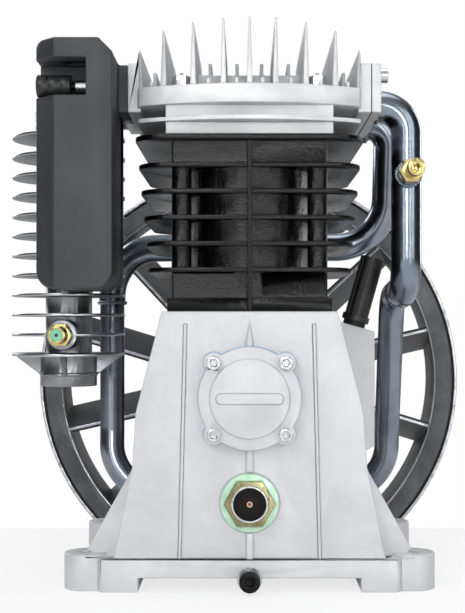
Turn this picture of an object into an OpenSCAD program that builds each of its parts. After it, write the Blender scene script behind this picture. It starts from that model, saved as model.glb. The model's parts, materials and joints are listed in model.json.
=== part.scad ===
// Belt driven two stage air compressor pump head.
// Origin: centre of the four base bolts, on the plane of the feet.
// X runs along the base, Y from the bearing cover to the flywheel, Z up.

/* [Base] */
// Distance between the base bolts along X
bolt_spacing_x = 244; // [238:1:250]
// Distance between the base bolts along Y
bolt_spacing_y = 145; // [140:1:150]
// Radius of a base bolt hole
bolt_hole_r = 5.5; // [4.5:0.5:7]
// Radius of a base lug
lug_r = 16; // [14:0.5:18]
// Height of a base lug
lug_h = 26.5; // [25:0.5:30]
// Width of the base flange
base_w = 222.6; // [216:0.2:226]
// Depth of the base flange and of the case
base_d = 185; // [183:1:190]
// Height of the base flange
base_h = 24.6; // [22:0.2:25]
// Height of the gap under the base, between the feet
foot_gap_h = 10.3; // [8:0.1:11]
// Width of a foot
foot_w = 29.8; // [24:0.2:34]

/* [Crankcase] */
// Height of the face that carries the cylinder block
case_top_z = 205.3; // [204.5:0.1:206]
// Half width of the case at its top
case_top_half = 64.4; // [63:0.1:67]
// Half width of the case at its shoulder
case_shoulder_half = 83.4; // [82:0.1:85]
// Height of the shoulder
case_shoulder_z = 131.2; // [126:0.2:136]
// Half width of the case at its waist
case_waist_half = 85.9; // [85:0.1:87]
// Height of the waist
case_waist_z = 91; // [86:1:96]
// Half width of the case where it meets the base
case_foot_half = 102; // [98:1:104]
// Thickness of the side walls
case_wall = 8; // [6:0.5:9]
// Thickness of the end walls
end_wall = 10; // [8.5:0.5:11]
// Thickness of the roof that the studs are screwed into
roof_t = 16; // [14:0.5:18]
// Height of the crankshaft above the feet
crank_z = 142; // [141:0.5:143]

/* [Bearing cover and sight glass] */
// Radius of the bearing cover
cover_r = 37.6; // [36.5:0.1:39]
// Radius of the raised disc on the cover
cover_disc_r = 28.9; // [26:0.1:29.5]
// Distance of a cover screw from the shaft axis along X and along Z
cover_screw_offset = 26; // [25.7:0.1:27]
// Radius of a cover ear
cover_ear_r = 7.6; // [7:0.1:8.4]
// Height of the sight glass above the feet
sight_z = 65.8; // [62:0.2:68]
// Radius of the sight glass flange
sight_flange_r = 21.2; // [20:0.1:22]
// Width across flats of the sight glass nut
sight_hex_af = 33; // [32:0.5:35]
// Height of the drain plug's axis
drain_z = 9.8; // [9.4:0.1:10.4]

/* [Cylinder block] */
// Bore of the low pressure cylinder
low_bore = 80; // [78:1:81]
// Bore of the high pressure cylinder
high_bore = 60; // [58:1:61]
// Distance of the low pressure cylinder in front of the block's middle
low_offset = 32.5; // [32:0.1:33]
// Distance of the high pressure cylinder behind the block's middle
high_offset = 44; // [43.6:0.1:44.4]
// Thickness of both cylinder walls
bore_wall = 6; // [5:0.2:6.4]
// Height of the block's top face
deck_z = 336.5; // [336.3:0.1:338]
// Half width of the lowest fin
fin_half_low = 77; // [75:0.5:78]
// Half width of the highest separate fin
fin_half_high = 84; // [81:0.5:86]
// Half length of a fin along Y
fin_half_len = 80; // [79:0.5:81]
// Height of the lowest fin
fin_low_z = 236.5; // [235:0.1:238]
// Step from fin to fin
fin_pitch = 19.5; // [18:0.1:19.6]
// Thickness of a fin
fin_t = 3.5; // [2.6:0.1:4]
// Number of separate fins below the block's top flange
fin_count = 5; // [3:1:5]

/* [Running gear] */
// Stroke of both pistons
stroke = 30; // [26:1:30]
// Distance between the two eyes of a connecting rod
rod_len = 130.5; // [129.5:0.1:130.6]
// Height of a piston above its pin
pin_drop = 48; // [47.6:0.1:48]
// Length of a piston below its pin
skirt_drop = 16; // [14:1:18]
// Radius of both crankpins
crankpin_r = 11; // [10:0.5:11]
// Radius of the crank webs
web_r = 34; // [32:0.5:34]
// Radius of the low pressure gudgeon pin
low_pin_r = 7; // [6:0.5:7.5]
// Radius of the high pressure gudgeon pin
high_pin_r = 5; // [4:0.5:5.5]

/* [Head] */
// Half width of the head's flange
head_half_w = 84; // [83:0.2:85]
// Half length of the head's flange
head_half_l = 90; // [88:0.5:92]
// Corner radius of the head's flange
head_corner_r = 28; // [24:1:32]
// Radius of the flange's bulging front edge
head_front_r = 181.6; // [170:1:200]
// Height of the underside of the flange
head_flange_z = 359; // [358.5:0.1:360]
// Thickness of the flange
head_flange_t = 14; // [13.6:0.2:15]
// Height of the tallest head fin above the feet
head_top_z = 422; // [418:0.5:424]
// Half width of the head across its two port faces
port_half_w = 92; // [91:0.1:92.4]
// Height of the lower edge of the port faces
port_low_z = 356; // [355:0.1:356.4]
// Height of the upper edge of the port faces
port_high_z = 393; // [391.5:0.1:394]
// Thickness of a head fin at its root
head_fin_t = 4.5; // [3.6:0.1:5]

/* [Intake filter] */
// Distance of the filter's right side from the middle plane
filter_right_x = 99; // [98:0.2:100]
// Width of the filter housing
filter_w = 57; // [54:0.5:59]
// Depth of the filter housing
filter_d = 85.8; // [82:0.2:88]
// Height of the filter's bottom
filter_low_z = 221.7; // [216:0.1:226]
// Height of the filter's top
filter_high_z = 402.4; // [398:0.2:406]
// Wall of the filter housing
filter_wall = 3; // [2.2:0.1:3.4]

/* [Delivery cooler] */
// Distance of the cooler's axis to the left of the middle plane
cooler_x = 149; // [148:0.2:151]
// Radius of the cooler's fins
cooler_fin_r = 46.2; // [42:0.2:46.6]
// Radius of the cooler's body
cooler_body_r = 19; // [18:0.1:21]
// Height of the cooler's lowest fin
cooler_low_z = 170.2; // [169:0.2:171]
// Step from fin to fin
cooler_pitch = 16.1; // [15:0.1:16.3]
// Number of fins on the cooler
cooler_fins = 12; // [8:1:12]
// Thickness of a cooler fin
cooler_fin_t = 2.2; // [1.6:0.1:3]
// Radius of the threaded outlet, a three quarter inch pipe thread
outlet_r = 12.1; // [11:0.1:13]

/* [Intercooler tubes] */
// Outer diameter of the tubes at the head
tube_od = 24; // [22.5:0.5:24]
// Outer diameter of the lower loop
loop_od = 22; // [20:0.5:22.5]
// Wall of the tubes
tube_wall = 2; // [1.5:0.1:2.5]

/* [Flywheel] */
// Distance of the flywheel's front behind the base's front face
flywheel_setback = 300; // [298:1:304]
// Outer diameter of the flywheel
flywheel_od = 406; // [398:1:412]
// Width of the flywheel's rim
rim_w = 60; // [56:1:66]
// Radial thickness of the rim
rim_t = 22; // [20:0.5:24]
// Number of fan blades
blades = 12; // [8:1:13]
// Pitch of a fan blade against the shaft
blade_pitch = 19; // [12:1:24]
// Thickness of a fan blade
blade_t = 5; // [4:0.2:6]

/* [Hidden] */

$fn = 64;
// Overrun of every cut, and the depth that a rib sinks into its wall
over = 1;
// Radial running clearance of pistons, pins and bearings
run_gap = 0.05;
// Clearance of a screw in its hole, and of parts that pass each other
side_gap = 0.3;
// Side clearance of a rod between its crank webs
end_gap = 0.5;
// Thickness of a paper gasket and of the head gasket
thin_gasket = 0.5;
thick_gasket = 0.8;

front_y = -base_d / 2;
back_y = base_d / 2;
low_y = -low_offset;
high_y = high_offset;
fly_y = front_y + flywheel_setback;
gasket_z = case_top_z + thin_gasket;
crank_r = stroke / 2;
low_crankpin_z = crank_z + crank_r;
high_crankpin_z = crank_z - crank_r;
low_pin_z = low_crankpin_z + rod_len;
high_pin_z = high_crankpin_z + rod_len;

// Cylinder of radius r and length h that starts at the origin and runs along +Y
module bar_y(r, h) { rotate([-90, 0, 0]) cylinder(r = r, h = h); }

// The same along +X
module bar_x(r, h) { rotate([0, 90, 0]) cylinder(r = r, h = h); }

// Hexagonal prism of width af across flats, along +Y
module hex_y(af, h) { rotate([-90, 0, 0]) cylinder(r = af / sqrt(3), h = h, $fn = 6); }

// The same along +X
module hex_x(af, h) { rotate([0, 90, 0]) cylinder(r = af / sqrt(3), h = h, $fn = 6); }

// Ring along +Y
module ring_y(ro, ri, h) {
    difference() {
        bar_y(ro, h);
        translate([0, -over, 0]) bar_y(ri, h + 2 * over);
    }
}

// Box given by its lowest and highest corners
module box(a, b) { translate(a) cube(b - a); }

// Plate with round corners, of half sizes hx and hy, from z0 to z1
module plate(hx, hy, rc, z0, z1) {
    box([-hx, rc - hy, z0], [hx, hy - rc, z1]);
    box([rc - hx, -hy, z0], [hx - rc, hy, z1]);
    for (sx = [-1, 1], sy = [-1, 1])
        translate([sx * (hx - rc), sy * (hy - rc), z0]) cylinder(r = rc, h = z1 - z0);
}

// Prism along Y of an outline in X and Z
module profile_y(points, y0, y1) {
    translate([0, y1, 0]) rotate([90, 0, 0]) linear_extrude(height = y1 - y0) polygon(points);
}

// Points of a round corner
arc_steps = 6;
function arc(x, z, r, a0, a1) = [for (i = [0 : arc_steps])
    let (a = a0 + (a1 - a0) * i / arc_steps) [x + r * cos(a), z + r * sin(a)]];

// Crankcase

// Outline of the case's end face, drawn in by inset
function case_outline(inset, z_low, z_high) = [
    [case_top_half - inset, z_high], [case_shoulder_half - inset, case_shoulder_z],
    [case_waist_half - inset, case_waist_z], [case_foot_half - inset, z_low],
    [inset - case_foot_half, z_low], [inset - case_waist_half, case_waist_z],
    [inset - case_shoulder_half, case_shoulder_z], [inset - case_top_half, z_high]];

base_corner_r = 5;
base_line = 0.8;
floor_t = 6.5;
sump_z = foot_gap_h + floor_t;
boss_t = 3.5;
rib_w = 2.5;
rib_t = 1.2;
rib_top_share = 0.71;
rib_foot_share = 0.49;
keel_w = 5;
keel_t = 3;
keel_tip = 14;
rib_drop = 9;
buttress_t = 8.5;
bearing_od_front = 62;
bearing_bore_front = 25;
bearing_w_front = 17;
bearing_od_rear = 72;
bearing_bore_rear = 30;
bearing_w_rear = 19;
bearing_inset = 1.5;
case_bore_r = web_r + 2 * over;
drain_boss_r = 9.2;
drain_hole_r = 6;
drain_boss_len = 40;
drain_well_y = front_y + end_wall + 2 * drain_hole_r;
sight_boss_r = 22;
sight_hole_r = 13;
stud_x = 51;
stud_r = 4;
stud_hole_r = 4.4;
stud_y_shares = [-0.844, 0.125, 0.69];
stud_depth = roof_t - 2 * over;
chamber_half = stud_x - stud_hole_r - 2 * stud_r;
breather_x = 84.6;
breather_y = 7.5;
breather_z = 194.8;
breather_tilt = 15.7;
breather_boss_half = 17;
breather_boss_right = 100;
breather_boss_low = 91;
breather_boss_fall = 4.6;
breather_duct_r = 4;
breather_duct_len = 56;
ribs_top_z = case_top_z - rib_drop;

// Ear positions of the cover, its gasket, its boss and its screws
module at_cover_ears() {
    for (sx = [-1, 1], sz = [-1, 1])
        translate([sx * cover_screw_offset, 0, crank_z + sz * cover_screw_offset]) children();
}

// Outline of the cover and of what lies under it, from y0 towards +Y
module cover_outline(y0, h, grow) {
    translate([0, y0, crank_z]) bar_y(cover_r + grow, h);
    translate([0, y0, 0]) at_cover_ears() bar_y(cover_ear_r + grow, h);
}

module base_lugs() {
    for (sx = [-1, 1], sy = [-1, 1])
        translate([sx * bolt_spacing_x / 2, sy * bolt_spacing_y / 2, 0]) {
            cylinder(r = lug_r, h = lug_h);
            box([sx > 0 ? -lug_r - foot_w / 2 : 0, -lug_r, 0],
                [sx > 0 ? 0 : lug_r + foot_w / 2, lug_r, base_h]);
        }
}

// Triangular webs from the case's waist out to the lugs
module buttresses() {
    for (s = [-1, 1], y = [-bolt_spacing_y / 2, bolt_spacing_y / 2])
        profile_y([[s * (case_waist_half - case_wall / 2), case_waist_z],
            [s * case_waist_half, case_waist_z], [s * bolt_spacing_x / 2, lug_h],
            [s * bolt_spacing_x / 2, base_h / 2], [s * (case_waist_half - case_wall / 2), base_h / 2]],
            y - buttress_t / 2, y + buttress_t / 2);
}

module front_ribs() {
    top_x = rib_top_share * case_top_half;
    foot_x = rib_foot_share * case_foot_half;
    for (s = [-1, 1])
        profile_y([[s * top_x, ribs_top_z], [s * (top_x + rib_w), ribs_top_z],
            [s * (foot_x + rib_w), base_h], [s * foot_x, base_h]], front_y - rib_t, front_y + over);
    profile_y([[-keel_w / 2, base_h], [keel_w / 2, base_h], [keel_w / 2, ribs_top_z - keel_tip],
        [0, ribs_top_z], [-keel_w / 2, ribs_top_z - keel_tip]], front_y - keel_t, front_y + over);
}

module breather_boss() {
    profile_y([[case_waist_half / 2, breather_boss_low],
        [case_waist_half, breather_boss_low], [breather_boss_right, breather_boss_low + case_wall],
        [breather_boss_right, breather_z - breather_boss_fall],
        [breather_x - breather_boss_half, breather_z + breather_boss_fall],
        [case_waist_half / 2, breather_z]],
        breather_y - breather_boss_half, breather_y + breather_boss_half);
}

module at_breather() {
    translate([breather_x, breather_y, breather_z]) rotate([0, breather_tilt, 0]) children();
}

module at_studs() {
    for (sx = [-1, 1], share = stud_y_shares)
        translate([sx * stud_x, share * fin_half_len, 0]) children();
}

// Room under the bores where the rods swing
module rod_chamber(z0, z1) {
    box([-chamber_half, low_y - low_bore / 2, z0], [chamber_half, high_y + high_bore / 2, z1]);
}

module case_body() {
    plate(base_w / 2, base_d / 2, base_corner_r, 0, base_h);
    base_lugs();
    buttresses();
    profile_y(case_outline(0, base_h / 2, case_top_z), front_y, back_y);
    front_ribs();
    breather_boss();
    cover_outline(front_y - boss_t, boss_t + over, 0);
    translate([0, front_y - boss_t / 2, sight_z]) bar_y(sight_boss_r, boss_t);
}

module case_cavity() {
    difference() {
        profile_y(case_outline(case_wall, sump_z, case_top_z - roof_t),
            front_y + end_wall, back_y - end_wall);
        translate([0, front_y, crank_z])
            bar_y(bearing_od_front / 2 + case_wall, boss_t + bearing_w_front);
        translate([0, front_y, drain_z]) bar_y(drain_boss_r, drain_boss_len);
    }
}

module crankcase() {
    color("gainsboro") difference() {
        case_body();
        case_cavity();
        difference() {
            box([foot_w - base_w / 2, front_y - over, -over],
                [base_w / 2 - foot_w, back_y + over, foot_gap_h]);
            translate([0, front_y, drain_z]) bar_y(drain_boss_r, drain_boss_len);
        }
        for (sx = [-1, 1], sy = [-1, 1])
            translate([sx * bolt_spacing_x / 2, sy * bolt_spacing_y / 2, -over])
                cylinder(r = bolt_hole_r, h = lug_h + 2 * over);
        rod_chamber(case_top_z - roof_t - over, case_top_z + over);
        at_studs() translate([0, 0, case_top_z - stud_depth]) cylinder(r = stud_r, h = roof_t);
        translate([0, front_y - boss_t - over, crank_z])
            bar_y(bearing_od_front / 2, bearing_w_front + 2 * boss_t + 2 * over);
        translate([0, front_y - boss_t - over, 0]) at_cover_ears()
            bar_y(cover_screw_r, boss_t + cover_screw_grip + over);
        translate([0, back_y - end_wall - over, crank_z]) bar_y(case_bore_r, end_wall + 2 * over);
        translate([0, back_y - carrier_screw_grip, crank_z]) at_carrier_screws()
            bar_y(carrier_screw_r, carrier_screw_grip + over);
        translate([0, front_y - boss_t, sight_z]) bar_y(sight_hole_r, boss_t + end_wall + over);
        translate([0, front_y - boss_t / 2 - keel_t, sight_z]) bar_y(sight_boss_r, keel_t);
        box([-base_w, front_y - over, base_h - base_line], [base_w, front_y + base_line, base_h]);
        translate([0, front_y - over, drain_z]) bar_y(drain_hole_r, drain_well_y - front_y + over);
        translate([0, drain_well_y, drain_z]) cylinder(r = drain_hole_r / 2, h = sump_z);
        at_breather() translate([0, 0, -breather_plug_len])
            cylinder(r = breather_plug_r, h = 2 * breather_plug_len);
        at_breather() translate([0, 0, -breather_duct_len])
            cylinder(r = breather_duct_r, h = breather_duct_len);
    }
}

// Bearing cover at the front

cover_screw_r = 3;
cover_screw_grip = 8;
cover_flange_t = 5;
cover_disc_t = 2.8;
panel_half = 24.5;
panel_r = 4;
panel_t = 0.8;
gasket_show = 0.5;
cover_back_y = front_y - boss_t - thin_gasket;
cover_face_y = cover_back_y - cover_flange_t;
screw_head_r = 5;
screw_head_t = 6;
screw_socket_af = 5;
screw_socket_t = 3;

module cover_gasket() {
    color("steelblue") difference() {
        cover_outline(cover_back_y, thin_gasket, gasket_show);
        translate([0, cover_back_y - over, crank_z])
            bar_y(bearing_od_front / 2, 2 * over + thin_gasket);
        translate([0, cover_back_y - over, 0]) at_cover_ears()
            bar_y(cover_screw_r, 2 * over + thin_gasket);
    }
}

module bearing_cover() {
    panel_y = cover_face_y - cover_disc_t - panel_t;
    color("gainsboro") difference() {
        union() {
            cover_outline(cover_face_y, cover_flange_t, 0);
            translate([0, cover_face_y - cover_disc_t, crank_z]) bar_y(cover_disc_r, cover_disc_t + over);
            for (s = [-1, 1])
                translate([s * (panel_half - panel_r), panel_y, crank_z]) bar_y(panel_r, panel_t + over);
            box([panel_r - panel_half, panel_y, crank_z - panel_r],
                [panel_half - panel_r, cover_face_y, crank_z + panel_r]);
        }
        translate([0, cover_face_y - over, 0]) at_cover_ears()
            bar_y(cover_screw_r + side_gap, cover_flange_t + 2 * over);
        translate([0, cover_face_y - cover_disc_t - over, 0]) at_cover_ears()
            bar_y(screw_head_r + side_gap, cover_disc_t + over);
    }
}

module cover_screws() {
    color("silver") translate([0, cover_face_y, 0]) at_cover_ears() {
        difference() {
            translate([0, -screw_head_t, 0]) bar_y(screw_head_r, screw_head_t);
            translate([0, -screw_head_t - over, 0]) hex_y(screw_socket_af, screw_socket_t + over);
        }
        bar_y(cover_screw_r - run_gap, cover_flange_t + thin_gasket + boss_t + cover_screw_grip - over);
    }
}

// Main bearings, rear carrier and shaft seal

race_share = 0.23;
balls = 9;
carrier_r = 62;
carrier_hub_r = 46;
carrier_bore_r = 32;
carrier_flange_t = 9;
carrier_len = 55;
carrier_pitch_r = 54;
carrier_screw_r = 3.4;
carrier_screw_grip = 8;
carrier_screws_n = 6;
carrier_head_t = 5;
seal_w = 7;
seal_r = 26;
shaft_r = 14;
front_bearing_y = front_y - boss_t + bearing_inset;
carrier_y = back_y + thin_gasket;
rear_bearing_y = carrier_y + carrier_flange_t;

module at_carrier_screws() {
    for (i = [0 : carrier_screws_n - 1]) rotate([0, 360 * (i + 1 / 2) / carrier_screws_n, 0])
        translate([carrier_pitch_r, 0, 0]) children();
}

module outer_race(od, bore, w) {
    ring_y(od / 2 - run_gap / 5, od / 2 - race_share * (od - bore) / 2, w);
}

// Inner race with its balls, which roll in the outer race with a running gap
module inner_race(od, bore, w) {
    track_in = bore / 2 + race_share * (od - bore) / 2;
    track_out = od / 2 - race_share * (od - bore) / 2;
    ring_y(track_in, bore / 2, w);
    for (i = [0 : balls - 1]) rotate([0, 360 * i / balls, 0])
        translate([(track_in + track_out) / 2, w / 2, 0])
            sphere(r = (track_out - track_in) / 2 - run_gap);
}

module front_bearing_outer() {
    color("lightsteelblue") translate([0, front_bearing_y, crank_z])
        outer_race(bearing_od_front, bearing_bore_front, bearing_w_front);
}

module front_bearing_inner() {
    color("silver") translate([0, front_bearing_y, crank_z])
        inner_race(bearing_od_front, bearing_bore_front, bearing_w_front);
}

module rear_bearing_outer() {
    color("lightsteelblue") translate([0, rear_bearing_y, crank_z])
        outer_race(bearing_od_rear, bearing_bore_rear, bearing_w_rear);
}

module rear_bearing_inner() {
    color("silver") translate([0, rear_bearing_y, crank_z])
        inner_race(bearing_od_rear, bearing_bore_rear, bearing_w_rear);
}

module rear_carrier_gasket() {
    color("steelblue") translate([0, back_y, crank_z]) difference() {
        ring_y(carrier_r, case_bore_r, thin_gasket);
        translate([0, -over, 0]) at_carrier_screws() bar_y(carrier_screw_r, thin_gasket + 2 * over);
    }
}

module rear_carrier() {
    color("gainsboro") translate([0, carrier_y, crank_z]) difference() {
        union() {
            bar_y(carrier_r, carrier_flange_t);
            bar_y(carrier_hub_r, carrier_len);
        }
        translate([0, -over, 0]) bar_y(carrier_bore_r, carrier_flange_t + 2 * over);
        translate([0, carrier_flange_t, 0]) bar_y(bearing_od_rear / 2, bearing_w_rear);
        translate([0, carrier_flange_t, 0]) bar_y(seal_r, carrier_len);
        translate([0, -over, 0]) at_carrier_screws()
            bar_y(carrier_screw_r + side_gap, carrier_flange_t + 2 * over);
    }
}

module rear_carrier_screws() {
    color("silver") translate([0, carrier_y + carrier_flange_t, crank_z]) at_carrier_screws() {
        hex_y(2 * carrier_head_t, carrier_head_t);
        translate([0, over - carrier_flange_t - thin_gasket - carrier_screw_grip, 0])
            bar_y(carrier_screw_r - run_gap, carrier_flange_t + thin_gasket + carrier_screw_grip - over);
    }
}

module shaft_seal() {
    color("dimgray") translate([0, carrier_y + carrier_len - seal_w, crank_z])
        ring_y(seal_r, shaft_r + run_gap, seal_w);
}

// Sight glass and drain

sight_flange_t = 2.6;
sight_nut_t = 5.5;
sight_rim_r = 13.2;
sight_rim_t = 2;
sight_window_r = 12;
sight_window_t = 4;
sight_dot_r = 2.2;
sight_face_y = front_y - boss_t / 2 - sight_flange_t;
drain_washer_t = 1.6;
drain_head_r = 7.6;
drain_head_t = 12;
drain_socket_af = 6;
drain_socket_t = 5;

module sight_flange() {
    color("darkseagreen") translate([0, sight_face_y, sight_z])
        ring_y(sight_flange_r, sight_hole_r, sight_flange_t);
}

module sight_nut() {
    color("darkkhaki") translate([0, sight_face_y, sight_z]) difference() {
        union() {
            translate([0, -sight_nut_t, 0]) hex_y(sight_hex_af, sight_nut_t);
            translate([0, -sight_nut_t - sight_rim_t, 0]) bar_y(sight_rim_r, sight_rim_t + over);
            bar_y(sight_hole_r - run_gap, sight_flange_t + boss_t / 2 + end_wall);
        }
        translate([0, -sight_nut_t - sight_rim_t - over, 0])
            bar_y(sight_window_r, sight_rim_t + sight_window_t + over);
        bar_y(sight_window_r / 2, 2 * end_wall);
    }
}

module sight_window() {
    color("black") translate([0, sight_face_y - sight_nut_t - sight_rim_t / 2, sight_z]) difference() {
        bar_y(sight_window_r - run_gap, sight_window_t + sight_rim_t / 2);
        translate([0, -over, 0]) bar_y(sight_dot_r, over + sight_window_t / 4);
    }
}

module drain_washer() {
    color("silver") translate([0, front_y - drain_washer_t, drain_z])
        ring_y(drain_boss_r, drain_hole_r, drain_washer_t);
}

module drain_plug() {
    color("black") translate([0, front_y - drain_washer_t, drain_z]) difference() {
        union() {
            translate([0, -drain_head_t, 0]) bar_y(drain_head_r, drain_head_t);
            bar_y(drain_hole_r - run_gap, drain_washer_t + end_wall);
        }
        translate([0, -drain_head_t - over, 0]) hex_y(drain_socket_af, drain_socket_t + over);
    }
}

// Cylinder block

block_base_half = 61;
block_base_t = 9.7;
block_skirt_half = 57;
block_skirt_h = 28;
block_end_inset = 2.5;
chamber_roof_t = 5;
column_r = 7.5;
fin_corner_r = 26;
block_rib_proud = 1.5;
block_band_z = fin_low_z + (fin_count - 1) * fin_pitch;
flange_half_w = 86;
flange_half_l = 86;
flange_t = 4;
block_rib_w = 3;
skirt_top_z = gasket_z + block_skirt_h;

module block_gasket() {
    color("dimgray") difference() {
        box([-block_base_half, -fin_half_len, case_top_z], [block_base_half, fin_half_len, gasket_z]);
        rod_chamber(case_top_z - over, gasket_z + over);
        translate([0, 0, case_top_z - over]) at_studs()
            cylinder(r = stud_hole_r, h = 2 * over + thin_gasket);
    }
}

module block_fins() {
    for (i = [0 : fin_count - 1]) {
        half = fin_half_low + (fin_half_high - fin_half_low) * i / (fin_count - 1);
        z = fin_low_z + i * fin_pitch;
        plate(half, fin_half_len, fin_corner_r, z - fin_t / 2, z + fin_t / 2);
    }
    plate(flange_half_w, flange_half_l, fin_corner_r, deck_z - flange_t, deck_z);
}

module cylinder_block() {
    h = deck_z - gasket_z;
    color([0.07, 0.07, 0.08]) difference() {
        union() {
            box([-block_base_half, -fin_half_len, gasket_z],
                [block_base_half, fin_half_len, gasket_z + block_base_t]);
            box([-block_skirt_half, block_end_inset - fin_half_len, gasket_z],
                [block_skirt_half, fin_half_len - block_end_inset, skirt_top_z]);
            translate([0, low_y, gasket_z]) cylinder(r = low_bore / 2 + bore_wall, h = h);
            translate([0, high_y, gasket_z]) cylinder(r = high_bore / 2 + bore_wall, h = h);
            box([-block_skirt_half, block_end_inset - fin_half_len, block_band_z],
                [block_skirt_half, fin_half_len - block_end_inset, deck_z]);
            box([-block_rib_w / 2, -fin_half_len - block_rib_proud, gasket_z],
                [block_rib_w / 2, low_y, deck_z]);
            at_studs() translate([0, 0, gasket_z]) cylinder(r = column_r, h = h);
            block_fins();
        }
        translate([0, low_y, gasket_z]) cylinder(r = low_bore / 2, h = h + over);
        translate([0, high_y, gasket_z]) cylinder(r = high_bore / 2, h = h + over);
        rod_chamber(gasket_z - over, skirt_top_z - chamber_roof_t);
        at_studs() translate([0, 0, gasket_z - over]) cylinder(r = stud_hole_r, h = h + 2 * over);
    }
}

// Valve stack between block and head

band_half_w = 62.4;
band_half_l = 77.5;
stack_drop = 12.4;
plate_t = 3;
spacer_z = deck_z + thick_gasket;
plate_z = head_flange_z - stack_drop;
head_low_z = plate_z + plate_t;
low_port_r = 8;
high_port_r = 5;
low_port_x = 19;
high_port_x = 10;
reed_t = 0.4;
reed_margin = 1;

// Two ports for each stage, intake on the left and delivery on the right
module stage_ports(z0, z1) {
    for (s = [-1, 1]) {
        translate([s * low_port_x, low_y, z0]) cylinder(r = low_port_r, h = z1 - z0);
        translate([s * high_port_x, high_y, z0]) cylinder(r = high_port_r, h = z1 - z0);
    }
}

module head_gasket() {
    color("dimgray") difference() {
        box([-band_half_w, -band_half_l, deck_z], [band_half_w, band_half_l, spacer_z]);
        translate([0, low_y, deck_z - over]) cylinder(r = low_bore / 2, h = 2 * over + thick_gasket);
        translate([0, high_y, deck_z - over]) cylinder(r = high_bore / 2, h = 2 * over + thick_gasket);
        at_studs() translate([0, 0, deck_z - over])
            cylinder(r = stud_hole_r, h = 2 * over + thick_gasket);
    }
}

module valve_spacer() {
    color("gainsboro") difference() {
        box([-band_half_w, -band_half_l, spacer_z], [band_half_w, band_half_l, plate_z]);
        stage_ports(spacer_z - over, plate_z + over);
        at_studs() translate([0, 0, spacer_z - over])
            cylinder(r = stud_hole_r, h = plate_z - spacer_z + 2 * over);
    }
}

// Outline of the valve plate and of the head's flange, drawn in by inset
module head_outline(inset, z0, z1) {
    intersection() {
        plate(head_half_w - inset, head_half_l - inset, head_corner_r - inset, z0, z1);
        translate([0, head_front_r - head_half_l, z0]) cylinder(r = head_front_r - inset, h = z1 - z0);
    }
}

module valve_plate() {
    color("lightgray") difference() {
        head_outline(0, plate_z, head_low_z);
        stage_ports(plate_z - over, head_low_z + over);
        at_studs() translate([0, 0, plate_z - over]) cylinder(r = stud_hole_r, h = plate_t + 2 * over);
    }
}

// Blade over one port, twice as long as the port is wide
module reed(x, y, r) {
    box([x - r, y - 2 * r, head_low_z], [x + r, y + 2 * r, head_low_z + reed_t]);
}

module valve_reeds() {
    color("slategray") for (s = [-1, 1]) {
        reed(s * low_port_x, low_y, low_port_r + reed_margin);
        reed(s * high_port_x, high_y, high_port_r + reed_margin);
    }
}

// Cylinder head

head_deck_z = head_flange_z + head_flange_t;
deck_half = 42;
deck_high = 17;
deck_side = 5;
deck_front_y = -32;
port_front_y = -62;
port_back_y = 85;
port_wall = 10;
fin_x_shares = [0, 0.233, 0.504, 0.772, 1];
fin_drop_shares = [0, 0.01, 0.06, 0.163, 0.408];
outer_fin_x = 82.9;
fin_tip_t = 1.4;
fin_inset = 1;
small_fin_t = 2.6;
small_fin_h = 9;
small_fin_front_h = 4;
roof_wall = 8;
mid_wall = 3;
low_room_half = 38;
high_room_half_x = 22;
high_room_half_y = 26;
intake_y = -42.5;
intake_half = 15;
intake_wall = 2.5;
port_bore_r = 7;
front_port_y = -18.5;
front_port_z = 368;
upper_port_y = 73;
upper_port_z = 367;
delivery_y = 27.5;
delivery_z = 368;
nut_r = 7;
nut_t = 7;
washer_t = 1.5;
port_bolt_shares = [0.05, 0.5, 0.95];
port_bolt_z = 385;
port_bolt_r = 4;
port_bolt_grip = 8;
port_head_r = 5.5;
port_head_t = 5.5;
cooler_bolt_r = 3.5;
cooler_bolt_dy = 18;

// Tapered fin along Y
module head_fin(x, top) {
    profile_y([[x - head_fin_t / 2, head_deck_z - over], [x + head_fin_t / 2, head_deck_z - over],
        [x + fin_tip_t / 2, top], [x - fin_tip_t / 2, top]], -head_half_l, head_half_l);
}

module head_fins() {
    for (i = [0 : len(fin_x_shares) - 1], s = i == 0 ? [1] : [-1, 1])
        head_fin(s * fin_x_shares[i] * outer_fin_x,
            head_top_z - fin_drop_shares[i] * (head_top_z - head_deck_z));
}

// Low ridges halfway between the tall fins
module small_fins() {
    for (i = [0 : len(fin_x_shares) - 2], s = [-1, 1]) {
        x = s * (fin_x_shares[i] + fin_x_shares[i + 1]) / 2 * outer_fin_x;
        rise = (i < 2 ? deck_high : 2 * deck_side) + small_fin_h;
        box([x - small_fin_t / 2, -head_half_l, head_deck_z - over],
            [x + small_fin_t / 2, head_half_l, head_deck_z + small_fin_front_h]);
        box([x - small_fin_t / 2, deck_front_y, head_deck_z - over],
            [x + small_fin_t / 2, head_half_l, head_deck_z + rise]);
    }
}

// Side s of the head: -1 is intake, 1 is delivery
module head_rooms() {
    for (s = [-1, 1]) {
        box([s > 0 ? mid_wall : -low_room_half, low_y - low_room_half, head_low_z - over],
            [s > 0 ? low_room_half : -mid_wall, low_y + low_room_half - mid_wall,
            head_deck_z - roof_wall]);
        box([s > 0 ? mid_wall : -high_room_half_x, high_y - high_room_half_y, head_low_z - over],
            [s > 0 ? high_room_half_x : -mid_wall, high_y + high_room_half_y,
            head_deck_z + deck_side - roof_wall]);
    }
}

module at_port_bolts() {
    for (share = port_bolt_shares)
        translate([port_half_w, port_front_y + share * (port_back_y - port_front_y), port_bolt_z])
            children();
}

module at_cooler_bolts() {
    for (s = [-1, 1]) translate([-port_half_w, delivery_y + s * cooler_bolt_dy, port_bolt_z]) children();
}

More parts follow.
